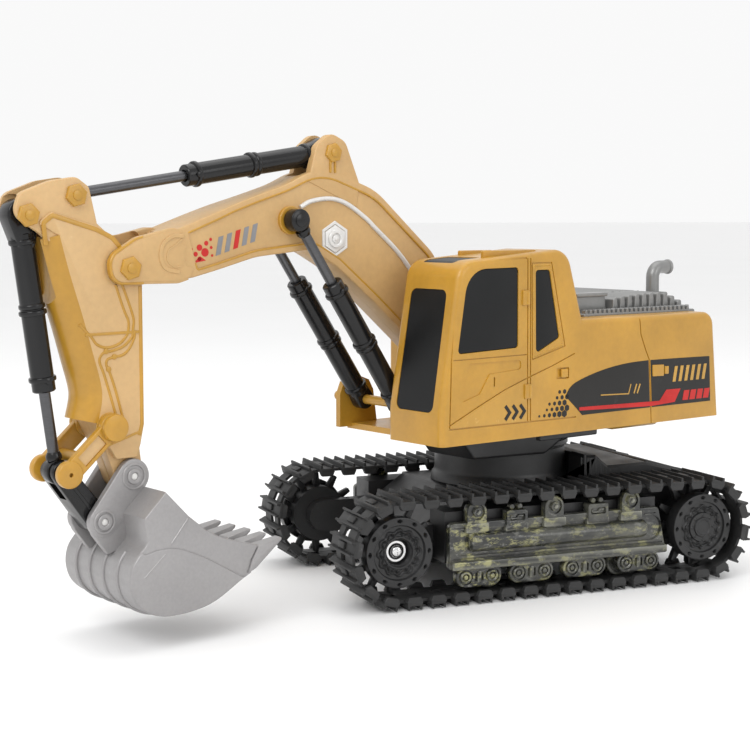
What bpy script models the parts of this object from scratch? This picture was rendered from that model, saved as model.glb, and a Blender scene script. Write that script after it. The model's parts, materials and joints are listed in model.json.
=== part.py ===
"""Toy tracked excavator, modelled as the separate pieces it is put together from.

The forward direction is -Y, the cab is on the +X side and +Z is up.  Sizes are in
millimetres and become metres when a mesh is made.  The upper works are drawn facing
straight ahead, in a frame of their own, and turned on the slew axis to the rest pose.
"""
import math

import bmesh
import bpy
from mathutils import Matrix, Vector

MM = 0.001
GAP = 0.3                    # play between two pieces that touch
WALL = 2.0                   # thickness of the moulded shells
WELD_MM = 0.02               # corners closer than this become one
PHASE = 0.21                 # turned pieces start off the axes, so facets of two never coincide

# ---- driving dimensions -------------------------------------------------------------
ORIGIN_X, ORIGIN_Y = -3.66, 64.36          # where the slew axis stands in the part's frame
SLEW_REST_DEG = 16.5                   # the upper works are turned this far at rest

WHEEL_Y = 71.0                         # half the wheelbase
WHEEL_Z = 23.0
TIP_R, BELT_R, BELT_INNER_R = 23.0, 21.0, 19.3   # cleat tips, belt outside, belt inside
BELT_X0, BELT_X1 = 32.5, 58.0
SHOES = 40                             # shoes round one belt
DISC_R = 14.5
PEGS = 12

DRUM_R = 28.6
DRUM_TOP = 57.0
FLOOR_Z = 67.0                         # underside of the house
DECK_Z = 114.0                         # top of the engine housing
HOUSE_X = 51.0
HOUSE_FRONT, HOUSE_REAR = -22.0, 88.0
CAB_X0 = 18.0
CAB_FRONT = -76.5

# pivots of the working arm, as (y, z) in the frame of the upper works
BOOM_ROOT = (-34.0, 97.0)
STICK_PIVOT = (-192.0, 138.0)
BUCKET_PIVOT = (-190.5, 62.0)
ROCKER_PIVOT = (-200.0, 81.0)
ROCKER_END = (-217.5, 65.5)
LINK_PIVOT = (-203.0, 46.5)
BOOM_RAM_BASE, BOOM_RAM_TOP = (-68.0, 80.0), (-119.0, 155.0)
STICK_RAM_BASE, STICK_RAM_TOP = (-98.0, 181.5), (-211.5, 164.0)
BUCKET_RAM_BASE = (-230.0, 157.0)
BOOM_RAM_X = 12.0

BOOM_X, STICK_X = 7.5, 8.0             # half widths
FORK_X0, FORK_X1 = 8.4, 11.0
EYE_HALF = 3.4                         # half width of a ram's eye
BARREL_R, ROD_R = 4.2, 2.1

PINION_TEETH, RING_TEETH, SLEW_MODULE = 10, 24, 1.0
DRIVE_PINION_TEETH, DRIVE_GEAR_TEETH, DRIVE_MODULE = 10, 24, 0.6

AXLE_R, SHAFT_R = 2.0, 2.2
ROLLER_R, ROLLER_Z = 5.6, 10.0
ROLLER_Y = (-29.0, 32.0)
PEG_R = 18.8
SIDES = (("left", 1), ("right", -1))
DRIVE_REACH = (DRIVE_PINION_TEETH + DRIVE_GEAR_TEETH) * DRIVE_MODULE / 2
MOTOR_ANGLE = math.radians(166.0)      # where the drive motor sits, seen from its shaft
MOTOR_AT = (WHEEL_Y + DRIVE_REACH * math.cos(MOTOR_ANGLE), WHEEL_Z + DRIVE_REACH * math.sin(MOTOR_ANGLE))
KING_R = 5.0
NECK_R = 30.0
BAY = 20.0                             # half width of the boom's bay, right of the cab
EXHAUST_AT = (25.0, 71.0)
SWITCH_AT = (32.5, 24.0)
SLEW_REACH = (PINION_TEETH + RING_TEETH) * SLEW_MODULE / 2
SLEW_MOTOR_AT = (0.0, SLEW_REACH)
# one tooth of the fixed ring points at the pinion at rest
RING_PHASE = (90 + SLEW_REST_DEG) * RING_TEETH / 360
DOOR_WINDOW = ((-68, 102, 2), (-61.5, 132.5, 14), (-36, 136.5, 2), (-33.5, 105, 2))
QUARTER_WINDOW = ((-26.5, 100, 2), (-26.5, 137, 2), (-15, 135.5, 2), (-9.5, 106, 2))
FRONT_WINDOW = ((23.5, 81, 3), (23.5, 127, 3), (44.5, 127, 3), (44.5, 81, 3))
ROOF_WINDOW = ((26, -61, 2), (43, -61, 2), (43, -46, 2), (26, -46, 2))
BOOM_OUTLINE = ((-24.5, 102), (-45, 141, 20), (-76, 167, 30), (-104, 176.5, 26), (-120, 169, 60),
                (-146, 161, 60), (-176, 150.5), (-177.5, 138), (-175, 132.5), (-165, 134, 4),
                (-135, 141, 40), (-109, 143.5, 12), (-96, 136.5, 16), (-76, 121, 30), (-44, 94))
STICK_OUTLINE = ((-191, 146.5, 6), (-184, 133, 6), (-184, 78), (-186, 70.5), (-197, 69), (-215, 83),
                 (-213.5, 92, 4), (-213.5, 102, 10), (-224.5, 145), (-226.5, 152), (-220, 158, 2))
BUCKET_X = 24.0

# ---- materials ----------------------------------------------------------------------
COLOURS = {
    "amber_plastic": ((0.79, 0.40, 0.06), 0.42, 0.0),
    "tan_plastic": ((0.80, 0.52, 0.22), 0.45, 0.0),
    "black_plastic": ((0.022, 0.022, 0.022), 0.5, 0.0),
    "gloss_black": ((0.012, 0.012, 0.013), 0.2, 0.0),
    "grey_bucket": ((0.27, 0.26, 0.26), 0.42, 0.3),
    "silver_plastic": ((0.36, 0.36, 0.37), 0.35, 0.4),
    "camo_plastic": ((0.13, 0.14, 0.09), 0.5, 0.0),
    "belt_rubber": ((0.018, 0.018, 0.018), 0.7, 0.0),
    "steel": ((0.6, 0.6, 0.62), 0.25, 1.0),
    "dark_steel": ((0.1, 0.1, 0.11), 0.3, 0.6),
    "brass": ((0.7, 0.5, 0.2), 0.3, 1.0),
    "board_green": ((0.02, 0.16, 0.06), 0.5, 0.0),
    "battery_wrap": ((0.03, 0.07, 0.3), 0.4, 0.0),
    "white_gear": ((0.75, 0.75, 0.72), 0.5, 0.0),
}


def material(name):
    """The named material, made on first use."""
    if name in bpy.data.materials:
        return bpy.data.materials[name]
    colour, roughness, metallic = COLOURS[name]
    made = bpy.data.materials.new(name)
    made.use_nodes = True
    made.diffuse_color = (*colour, 1.0)
    shader = made.node_tree.nodes["Principled BSDF"]
    shader.inputs["Base Color"].default_value = (*colour, 1.0)
    shader.inputs["Roughness"].default_value = roughness
    shader.inputs["Metallic"].default_value = metallic
    return made


# ---- frames: one empty on each joint axis ---------------------------------------------
AXES = {}


def axis(name, parent, x, y, z, turn=0.0):
    """An empty at a pivot; pieces hung on it are drawn in their parent frame's millimetres."""
    empty = bpy.data.objects.new("axis_" + name, None)
    bpy.context.collection.objects.link(empty)
    empty.hide_render = True
    place = Vector((x, y, z))
    if parent:
        empty.parent = AXES[parent][0]
        empty.location = (place - AXES[parent][1]) * MM
    else:
        empty.location = place * MM
    empty.rotation_euler.z = math.radians(turn)
    AXES[name] = (empty, place if parent else Vector((0, 0, 0)))
    return empty


def node(name, mesh, on, finish, guide=False):
    """Turn a bmesh drawn in millimetres into a named object hung on an axis."""
    pivot = AXES[on][1]
    bmesh.ops.translate(mesh, verts=mesh.verts, vec=-pivot)
    bmesh.ops.scale(mesh, verts=mesh.verts, vec=(MM, MM, MM))
    bmesh.ops.recalc_face_normals(mesh, faces=mesh.faces)
    data = bpy.data.meshes.new(name)
    mesh.to_mesh(data)
    mesh.free()
    made = bpy.data.objects.new(name, data)
    bpy.context.collection.objects.link(made)
    made.parent = AXES[on][0]
    if guide:
        made.hide_render = True
        made.display_type = "WIRE"
        return made
    data.materials.append(material(finish))
    data.shade_smooth()
    data.set_sharp_from_angle(angle=math.radians(35))
    return made


def boolean(target, operation, mesh, on):
    """Join a bmesh to an object, or cut it away, with a hidden guide object.

    EXACT loses faces on several of these pieces, so every step uses MANIFOLD.
    """
    tool = node("guide", mesh, on, "", guide=True)
    step = target.modifiers.new(operation.lower(), "BOOLEAN")
    step.operation = operation
    step.solver = "MANIFOLD"
    step.object = tool
    return target


def join(target, mesh, on):
    return boolean(target, "UNION", mesh, on)


def cut(target, mesh, on):
    return boolean(target, "DIFFERENCE", mesh, on)


def weld(target):
    """Merge the nearly coincident corners that the boolean steps can leave."""
    target.modifiers.new("weld", "WELD").merge_threshold = WELD_MM * MM


# ---- outlines -------------------------------------------------------------------------
def rounded(*corners):
    """A closed outline through corners (a, b) or (a, b, radius), the latter as arcs."""
    points = []
    count = len(corners)
    for i, corner in enumerate(corners):
        here = Vector(corner[:2])
        radius = corner[2] if len(corner) > 2 else 0.0
        if not radius:
            points.append(here)
            continue
        before = (Vector(corners[i - 1][:2]) - here).normalized()
        after = (Vector(corners[(i + 1) % count][:2]) - here).normalized()
        half = before.angle(after) / 2
        reach = radius / math.tan(half)
        centre = here + (before + after).normalized() * (radius / math.sin(half))
        start, end = here + before * reach - centre, here + after * reach - centre
        sweep = start.angle_signed(end)
        steps = max(2, round(abs(sweep) / math.radians(40)))
        for k in range(steps + 1):
            points.append(centre + Matrix.Rotation(-sweep * k / steps, 2) @ start)
    return points


def capsule(a, b, radius_a, radius_b=None, steps=5):
    """The outline of two circles at a and b joined by their tangents."""
    radius_b = radius_a if radius_b is None else radius_b
    a, b = Vector(a), Vector(b)
    along = math.atan2(b.y - a.y, b.x - a.x)
    lean = math.acos((radius_a - radius_b) / (b - a).length)
    points = []
    for centre, radius, start, end in ((b, radius_b, -lean, lean), (a, radius_a, lean, 2 * math.pi - lean)):
        for k in range(steps + 1):
            angle = along + start + (end - start) * k / steps
            points.append(centre + radius * Vector((math.cos(angle), math.sin(angle))))
    return points


def circle(centre, radius, steps=12, phase=0.0):
    return [Vector(centre) + radius * Vector((math.cos(t), math.sin(t)))
            for t in (2 * math.pi * (k + phase) / steps for k in range(steps))]


def signed_area(points):
    return sum(a.x * b.y - b.x * a.y for a, b in zip(points, points[1:] + points[:1])) / 2


def inset(points, distance):
    """The outline moved inwards, corner by corner."""
    sign = 1 if signed_area(points) > 0 else -1
    moved = []
    for i, here in enumerate(points):
        before = (here - points[i - 1]).normalized()
        after = (points[(i + 1) % len(points)] - here).normalized()
        normal_a = Vector((-before.y, before.x)) * sign
        normal_b = Vector((-after.y, after.x)) * sign
        middle = (normal_a + normal_b).normalized()
        moved.append(here + middle * distance / max(0.5, middle.dot(normal_a)))
    return moved


# ---- solids ---------------------------------------------------------------------------
def place_point(point, level, plane):
    """A point of an outline at a level: plane 'yz' is drawn along X, 'xz' along Y, 'xy' along Z."""
    if plane == "yz":
        return (level, point.x, point.y)
    if plane == "xz":
        return (point.x, level, point.y)
    return (point.x, point.y, level)


def stack(rings, plane="yz", closed=False):
    """A solid through a stack of (outline, level) rings with the same number of points.

    It is capped at both ends, or closed like a tyre from the last ring to the first.
    """
    mesh = bmesh.new()
    loops = [[mesh.verts.new(place_point(p, level, plane)) for p in points] for points, level in rings]
    count = len(loops[0])
    for low, high in zip(loops, loops[1:]):
        for i in range(count):
            j = (i + 1) % count
            mesh.faces.new((low[i], low[j], high[j], high[i]))
    if closed:
        for i in range(count):
            j = (i + 1) % count
            mesh.faces.new((loops[-1][i], loops[-1][j], loops[0][j], loops[0][i]))
        return mesh
    caps = [mesh.faces.new(loops[0]), mesh.faces.new(loops[-1])]
    bmesh.ops.triangulate(mesh, faces=caps, ngon_method="EAR_CLIP")
    return mesh


def plate(points, start, end, plane="yz", edge=0.0):
    """An outline extruded from start to end, with both rims chamfered by edge."""
    if not edge:
        return stack([(points, start), (points, end)], plane)
    step = edge if end > start else -edge
    small = inset(points, edge)
    return stack([(small, start), (points, start + step), (points, end - step), (small, end)], plane)


def ring_plate(outer, inner, start, end, plane="yz"):
    """An outline with one hole, extruded from start to end."""
    mesh = bmesh.new()
    edges = []
    for points in (outer, inner):
        verts = [mesh.verts.new(place_point(p, start, plane)) for p in points]
        edges += [mesh.edges.new((a, b)) for a, b in zip(verts, verts[1:] + verts[:1])]
    face = bmesh.ops.triangle_fill(mesh, edges=edges, use_beauty=True)["geom"]
    face = [f for f in face if isinstance(f, bmesh.types.BMFace)]
    grown = bmesh.ops.extrude_face_region(mesh, geom=face, use_keep_orig=True)["geom"]
    shift = Vector(place_point(Vector((0, 0)), end - start, plane))
    bmesh.ops.translate(mesh, verts=[v for v in grown if isinstance(v, bmesh.types.BMVert)], vec=shift)
    return mesh


def tray(points, outer, inner, wall=WALL, edge=0.0):
    """Half of a moulded shell: a floor at level outer, and walls that reach level inner."""
    towards = 1 if inner > outer else -1
    hollow = inset(points, wall)
    rings = [(points, inner), (hollow, inner), (hollow, outer + wall * towards)]
    rings = rings[::-1]
    rings += [(points, outer + edge * towards)]
    if edge:
        rings += [(inset(points, edge), outer)]
    return stack(rings, "yz")


def turned(profile, steps=24):
    """A solid of revolution about Z through (radius, height) points; radius 0 closes an end."""
    solid = profile[0][0] == 0
    rings = [(circle((0, 0), radius, steps, PHASE), height) for radius, height in profile if radius]
    return stack(rings, "xy", closed=not solid)


def aim(mesh, start, direction):
    """Move a solid drawn along Z so that its foot is at start and it points along direction."""
    turn = Vector((0, 0, 1)).rotation_difference(Vector(direction).normalized())
    bmesh.ops.transform(mesh, matrix=Matrix.Translation(Vector(start)) @ turn.to_matrix().to_4x4(),
                        verts=mesh.verts)
    return mesh


def rod(start, end, radius, steps=12, bore=0.0):
    """A round bar between two points, or a tube when it has a bore."""
    start, end = Vector(start), Vector(end)
    length = (end - start).length
    if bore:
        profile = [(radius, 0), (radius, length), (bore, length), (bore, 0)]
    else:
        profile = [(0, 0), (radius, 0), (radius, length), (0, length)]
    return aim(turned(profile, steps), start, end - start)


def cross_pin(centre, x0, x1, radius, steps=12, bore=0.0):
    """A round bar along X through a (y, z) point."""
    return rod((x0, *centre), (x1, *centre), radius, steps, bore)


def box(x0, x1, y0, y1, z0, z1):
    mesh = bmesh.new()
    bmesh.ops.create_cube(mesh, size=1.0)
    size = Vector((x1 - x0, y1 - y0, z1 - z0))
    bmesh.ops.scale(mesh, verts=mesh.verts, vec=size)
    bmesh.ops.translate(mesh, verts=mesh.verts, vec=Vector((x0, y0, z0)) + size / 2)
    return mesh


def toothed(teeth, root, tip, root_share, tip_share, phase=0.0):
    """A gear's outline: straight-flanked teeth, each a share of the pitch wide at root and tip."""
    points = []
    for k in range(teeth):
        middle = 2 * math.pi * (k + phase) / teeth
        half_root, half_tip = math.pi * root_share / teeth, math.pi * tip_share / teeth
        for radius, angle in ((root, -half_root), (tip, -half_tip), (tip, half_tip), (root, half_root)):
            points.append(radius * Vector((math.cos(middle + angle), math.sin(middle + angle))))
    return points


def gear(teeth, module, phase=0.0):
    pitch = teeth * module / 2
    return toothed(teeth, pitch - 1.3 * module, pitch + 0.85 * module, 0.62, 0.26, phase)


def shifted(points, offset):
    return [p + Vector(offset) for p in points]


def drilled(target, holes, plane, start, end, on, steps=12):
    """Cut round holes, each a (point, radius), through a piece."""
    for centre, radius in holes:
        cut(target, plate(circle(centre, radius, steps), start, end, plane), on)
    return target


# ---- undercarriage --------------------------------------------------------------------


def on_path(distance, radius, rise):
    """A point on the belt's stadium path: down round the rear, forward below, back on top."""
    straight, bend = 2 * WHEEL_Y, math.pi * radius
    if distance < bend:
        centre_y, angle = WHEEL_Y, math.pi / 2 - distance / radius
    elif distance < bend + straight:
        return Vector((WHEEL_Y - (distance - bend), WHEEL_Z - radius - rise))
    elif distance < 2 * bend + straight:
        centre_y, angle = -WHEEL_Y, -math.pi / 2 - (distance - bend - straight) / radius
    else:
        return Vector((distance - 2 * bend - straight - WHEEL_Y, WHEEL_Z + radius + rise))
    return Vector((centre_y, WHEEL_Z)) + (radius + rise) * Vector((math.cos(angle), math.sin(angle)))


def belt_outline():
    """The outside of the belt: on each shoe two cleats, then the gap to the next shoe."""
    pitch = (4 * WHEEL_Y + 2 * math.pi * BELT_R) / SHOES
    section = ((0.02, 1), (0.12, 1), (0.16, 0), (0.46, 0), (0.50, 1), (0.60, 1), (0.64, 0), (0.98, 0))
    return [on_path((shoe + share) * pitch, BELT_R, (TIP_R - BELT_R) * high)
            for shoe in range(SHOES) for share, high in section]


def track_belt(name, side):
    inside = capsule((-WHEEL_Y, WHEEL_Z), (WHEEL_Y, WHEEL_Z), BELT_INNER_R, steps=12)
    node(name, ring_plate(belt_outline(), inside, side * BELT_X0, side * BELT_X1), "base", "belt_rubber")


def wheel(name, side, y, on, capped):
    """A flanged wheel: outer disc, core with driving pegs and inner disc, in one moulding."""
    face, core, back = 54.0, 47.5, 38.0
    centre, steps, waist = (y, WHEEL_Z), 2 * PEGS, DISC_R - 2
    pegs = [Vector(centre) + (PEG_R if k % 2 else waist) * Vector((math.cos(t), math.sin(t)))
            for k, t in ((k, 2 * math.pi * k / steps) for k in range(steps))]

    def ring(radius, level):
        return circle(centre, radius, steps), level

    bore = (SHAFT_R if capped else AXLE_R) + GAP
    rings = [ring(bore, back), ring(waist, back), ring(waist, 41.5), (pegs, 42.5), (pegs, 44.5),
             ring(waist, 45.5), ring(waist, core), ring(DISC_R, core), ring(DISC_R, face - 1),
             ring(DISC_R - 1, face), ring(9.5, face), ring(8.5, face - 1.2)]
    if capped:
        rings = [ring(bore, core - 1)] + rings + [ring(5.5, face - 1.2), ring(5.0, face + 0.4)]
    else:
        rings += [ring(6.0, face - 1.2), ring(5.2, face - 5.0), ring(bore, face - 5.0)]
    rings = [(points, side * level) for points, level in rings]
    node(name, stack(rings, "yz", closed=not capped), on, "black_plastic")


def track_frame(name, side):
    arm = capsule((-WHEEL_Y, WHEEL_Z), (WHEEL_Y, WHEEL_Z), 7.0)
    frame = node(name, plate(arm, side * 31.8, side * 37.5), "base", "black_plastic")
    join(frame, box(*sorted((side * 34, side * 48.8)), -49, 50, 16.0, 37.0), "base")
    for y in ROLLER_Y:
        join(frame, plate(capsule((y, 19), (y, ROLLER_Z), 3.0), side * 38, side * 41.5), "base")
        join(frame, cross_pin((y, ROLLER_Z), side * 40, side * 49.8, 1.3, 12), "base")
    join(frame, cross_pin((-WHEEL_Y, WHEEL_Z), side * 32.5, side * 48.8, AXLE_R), "base")
    drilled(frame, [((WHEEL_Y, WHEEL_Z), SHAFT_R + GAP)], "yz", side * 30, side * 40, "base")


def side_cover(name, side):
    """The weathered outer panel: long bulge, ledge, bolt tabs and the moulded roller links."""
    x0, x1 = side * 50.1, side * 53.8
    panel = rounded((-49, 14), (-49, 33, 2), (49, 34, 2), (53, 14))
    cover = node(name, plate(panel, x0, x1), "base", "camo_plastic")
    join(cover, rod((side * 53.2, -40, 24.8), (side * 53.2, 43, 24.8), 4.0), "base")
    join(cover, box(*sorted((side * 51, side * 56.5)), -49, 52, 14.0, 17.6), "base")
    for y in (-37, -1.5, 35):
        join(cover, plate(capsule((y, 30), (y, 37.4), 4.3), side * 50.1, side * 54.6), "base")
    for y in (-19, 19):
        join(cover, box(*sorted((side * 50.1, side * 55.2)), y - 5, y + 5, 30, 37.2), "base")
    for start, end in ((-42, -29), (-18, -5), (6, 20), (32, 45)):
        join(cover, plate(capsule((start, 10.4), (end, 10.4), 4.2), side * 51, side * 55), "base")


def drive_train(label, side):
    """Motor, pinion, gear and shaft that turn one sprocket."""
    sprocket, pinion = "sprocket_" + label, "drive_pinion_" + label
    tooth = MOTOR_ANGLE * DRIVE_GEAR_TEETH / (2 * math.pi)
    outline = shifted(gear(DRIVE_GEAR_TEETH, DRIVE_MODULE, tooth), (WHEEL_Y, WHEEL_Z))
    bore = circle((WHEEL_Y, WHEEL_Z), SHAFT_R / 2, 8, PHASE)
    shaft = node("drive_gear_" + label, ring_plate(outline, bore, side * 22, side * 26), sprocket,
                 "white_gear")
    join(shaft, cross_pin((WHEEL_Y, WHEEL_Z), side * 16, side * 46, SHAFT_R), sprocket)
    tooth = (MOTOR_ANGLE + math.pi) * DRIVE_PINION_TEETH / (2 * math.pi) + 0.5
    outline = shifted(gear(DRIVE_PINION_TEETH, DRIVE_MODULE, tooth), MOTOR_AT)
    bore = circle(MOTOR_AT, 1.0, 8, PHASE)
    node("drive_pinion_" + label, ring_plate(outline, bore, side * 22, side * 26), pinion, "brass")
    can = [(0, 0), (6.4, 0), (7, 0.6), (7, 19), (2.5, 19), (2.5, 20.2), (0.65, 20.2), (0.65, 24), (0, 24)]
    motor = aim(turned(can, 20), (side * 1.2, *MOTOR_AT), (side, 0, 0))
    node("drive_motor_" + label, motor, "base", "dark_steel")


def chassis():
    outline = rounded((-56, 12.5), (-56, 25, 3), (-33, 41, 4), (24, 41), (26, 53.5), (31, 53.5),
                      (37, 48.5), (56, 49, 4), (74, 44.5, 6), (87, 36, 3), (87, 20, 4), (80, 12.5, 4))
    body = node("chassis", plate(outline, -31.5, 31.5, edge=1.0), "base", "black_plastic")
    join(body, rod((0, 0, 36), (0, 0, DRUM_TOP), DRUM_R, 32), "base")
    cut(body, plate(inset(outline, WALL), -29.5, 29.5), "base")
    cut(body, box(-29.5, 29.5, -53, 60, 10, 20), "base")
    cut(body, rod((0, 0, 35), (0, 0, DRUM_TOP - 2.5), DRUM_R - 2.5, 32), "base")
    join(body, plate(gear(RING_TEETH, SLEW_MODULE, RING_PHASE), DRUM_TOP - 1, 61.3, "xy"), "base")
    drilled(body, [((0, 0), KING_R + GAP)], "xy", 50, 65, "base", 20)
    drilled(body, [((WHEEL_Y, WHEEL_Z), SHAFT_R + GAP)], "yz", -35, 35, "base")
    weld(body)
    node("chassis_cover", box(-29.2, 29.2, -52.7, 59.7, 12.6, 14.6), "base", "black_plastic")


def undercarriage():
    chassis()
    for label, side in SIDES:
        track_belt("track_belt_" + label, side)
        track_frame("track_frame_" + label, side)
        side_cover("side_cover_" + label, side)
        wheel("sprocket_" + label, side, WHEEL_Y, "sprocket_" + label, True)
        wheel("idler_" + label, side, -WHEEL_Y, "idler_" + label, False)
        screw = [(0, 49.3), (4.4, 49.3), (4.4, 49.9), (3.0, 50.1), (2.6, 51.2), (0, 51.5)]
        node("idler_screw_" + label, aim(turned(screw, 20), (0, -WHEEL_Y, WHEEL_Z), (side, 0, 0)),
             "base", "steel")
        drive_train(label, side)
        for end, y in zip(("front", "rear"), ROLLER_Y):
            profile = [(1.6, 42), (ROLLER_R, 42), (ROLLER_R, 49), (ROLLER_R - 0.5, 49.5), (1.6, 49.5)]
            roller = aim(turned(profile, 20), (0, y, ROLLER_Z), (side, 0, 0))
            node(f"roller_{end}_{label}", roller, f"roller_{end}_{label}", "camo_plastic")


# ---- house ----------------------------------------------------------------------------


def side_outline(bottom):
    return rounded((HOUSE_FRONT, bottom), (HOUSE_FRONT, DECK_Z, 5), (83, DECK_Z, 6),
                   (HOUSE_REAR + 0.5, bottom))


def cab_outline(bottom):
    return rounded((CAB_FRONT, bottom), (CAB_FRONT + 0.4, 80, 20), (-66.5, 138.5, 7), (-7, 142.5, 9),
                   (2.0, 114, 10), (3.5, bottom))


def house_shell():
    low = FLOOR_Z - 6
    shell = node("house_shell", plate(side_outline(low), -HOUSE_X, HOUSE_X, edge=2.5), "house",
                 "amber_plastic")
    join(shell, plate(cab_outline(low), CAB_X0, HOUSE_X, edge=2.5), "house")
    cut(shell, plate(inset(side_outline(low), WALL), -HOUSE_X + WALL, HOUSE_X - WALL), "house")
    cut(shell, plate(inset(cab_outline(low), WALL), CAB_X0 + WALL, HOUSE_X - WALL), "house")
    cut(shell, box(-60, 60, -90, 100, low - 2, FLOOR_Z), "house")
    for corners in (DOOR_WINDOW, QUARTER_WINDOW):
        cut(shell, plate(rounded(*corners), HOUSE_X - 4, HOUSE_X + 2), "house")
    cut(shell, plate(rounded(*FRONT_WINDOW), -82, -60, "xz"), "house")
    cut(shell, plate(rounded(*ROOF_WINDOW), 132, 150, "xy"), "house")


def windows():
    """Dark panes set into the cab's openings."""
    for name, corners in (("door_window", DOOR_WINDOW), ("quarter_window", QUARTER_WINDOW)):
        pane = inset(rounded(*corners), GAP)
        node(name, plate(pane, HOUSE_X - 1.8, HOUSE_X - 0.4), "house", "gloss_black")
    skin = inset(cab_outline(FLOOR_Z - 6), 0.4)
    core = inset(cab_outline(FLOOR_Z - 6), 1.8)
    for name, corners, plane, reach in (("front_window", FRONT_WINDOW, "xz", (-82, -60)),
                                        ("roof_window", ROOF_WINDOW, "xy", (132, 150))):
        pane = node(name, plate(inset(rounded(*corners), GAP), *reach, plane), "house", "gloss_black")
        boolean(pane, "INTERSECT", plate(skin, CAB_X0, HOUSE_X), "house")
        cut(pane, plate(core, CAB_X0 - 1, HOUSE_X + 1), "house")


def floor_and_neck():
    """The black floor plate, and the collar below it that turns on the drum."""
    plan = rounded((-36, -31.5, 4), (-17.8, -31.5), (-17.8, -70, 3), (36, -70, 4), (36, 33, 4), (-36, 33, 4))
    floor = node("house_floor", plate(plan, 64.2, FLOOR_Z - GAP, "xy"), "house", "black_plastic")
    collar = [(0, 63.0), (NECK_R - 3, 63.0), (NECK_R - 3, DRUM_TOP + GAP), (NECK_R, DRUM_TOP + GAP),
              (NECK_R, 66.3), (0, 66.3)]
    join(floor, turned(collar, 36), "house")
    x, y = SWITCH_AT
    cut(floor, box(x - 1.3, x + 1.3, y - 3.5, y + 3.5, 60, 70), "house")
    drilled(floor, [((0, 0), KING_R + GAP), (SLEW_MOTOR_AT, 2.3)], "xy", 60, 70, "house", 20)
    king = [(0, 50.0), (9, 50.0), (9, 54.2), (KING_R, 54.2), (KING_R, 67.2), (8, 67.2), (8, 69), (0, 69)]
    node("king_pin", turned(king, 20), "house", "steel")


def slew_drive():
    """The pinion rolls round the ring gear that is fixed to the drum."""
    tooth = 1.5 * math.pi * PINION_TEETH / (2 * math.pi) + 0.5
    outline = shifted(gear(PINION_TEETH, SLEW_MODULE, tooth), SLEW_MOTOR_AT)
    bore = circle(SLEW_MOTOR_AT, 1.0, 8, PHASE)
    pinion = node("slew_pinion", ring_plate(outline, bore, 57.6, 61.3, "xy"), "slew_pinion", "brass")
    join(pinion, rod((*SLEW_MOTOR_AT, 61), (*SLEW_MOTOR_AT, 70.5), 2.0, 12), "slew_pinion")
    motor = [(0, 71), (7, 71), (7, 90), (6.4, 90.6), (0, 90.6)]
    made = turned(motor, 20)
    bmesh.ops.translate(made, verts=made.verts, vec=(*SLEW_MOTOR_AT, 0))
    node("slew_motor", made, "house", "dark_steel")


def bent_bar(points, radius, steps=12):
    """A round bar along a list of points, its section square to the path."""
    points = [Vector(p) for p in points]
    mesh = bmesh.new()
    loops = []
    side = Vector((1, 0, 0))
    for i, here in enumerate(points):
        along = (points[min(i + 1, len(points) - 1)] - points[max(i - 1, 0)]).normalized()
        side = (side - along * side.dot(along)).normalized()
        up = along.cross(side)
        loops.append([mesh.verts.new(here + radius * (math.cos(t) * side + math.sin(t) * up))
                      for t in (2 * math.pi * k / steps for k in range(steps))])
    for low, high in zip(loops, loops[1:]):
        for i in range(steps):
            j = (i + 1) % steps
            mesh.faces.new((low[i], low[j], high[j], high[i]))
    mesh.faces.new(loops[0])
    mesh.faces.new(loops[-1])
    return mesh


def arc_points(centre, radius, start, end, steps):
    """Points (y, z) on an arc, angles in degrees."""
    return [(centre[0] + radius * math.cos(math.radians(start + (end - start) * k / steps)),
             centre[1] + radius * math.sin(math.radians(start + (end - start) * k / steps)))
            for k in range(steps + 1)]


def engine_top():
    """The grey louvred insert and the exhaust that stands on it."""
    outline = rounded((10, DECK_Z + GAP), (10, 119, 3), (33, 120), (36, 121.5), (70, 121.5, 8),
                      (81, DECK_Z + GAP))
    node("engine_hood", plate(outline, -41, 41, edge=2.0), "house", "silver_plastic")
    x, y = EXHAUST_AT
    bend = arc_points((y + 4.5, 129.0), 4.5, 180, 90, 4)
    path = [(x, y, 121.9)] + [(x, *p) for p in bend] + [(x, y + 10.5, 133.5)]
    node("exhaust_pipe", bent_bar(path, 2.6), "house", "silver_plastic")


def electrics():
    plan = rounded((-34, 36), (34, 36), (34, 83, 3), (-34, 83, 3))
    cover = node("battery_cover", plate(plan, 64.9, FLOOR_Z - GAP, "xy"), "house", "amber_plastic")
    join(cover, plate(rounded((38, 66), (40, 62, 2), (70, 62, 4), (76, 66)), -30, 30, edge=1.0), "house")
    cells = rounded((42, 67.5), (42, 82.5, 4), (72, 82.5, 4), (72, 67.5))
    node("battery_pack", plate(cells, -26, 26), "house", "battery_wrap")
    node("circuit_board", box(-32, 32, 24, 78, 94, 95.6), "house", "board_green")
    x, y = SWITCH_AT
    switch = node("power_switch", box(x - 2.7, x + 2.7, y - 5, y + 5, FLOOR_Z, FLOOR_Z + 1.8), "power_switch",
                  "black_plastic")
    join(switch, box(x - 1, x + 1, y - 1.5, y + 1.5, FLOOR_Z - 4, FLOOR_Z + 1), "power_switch")


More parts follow.
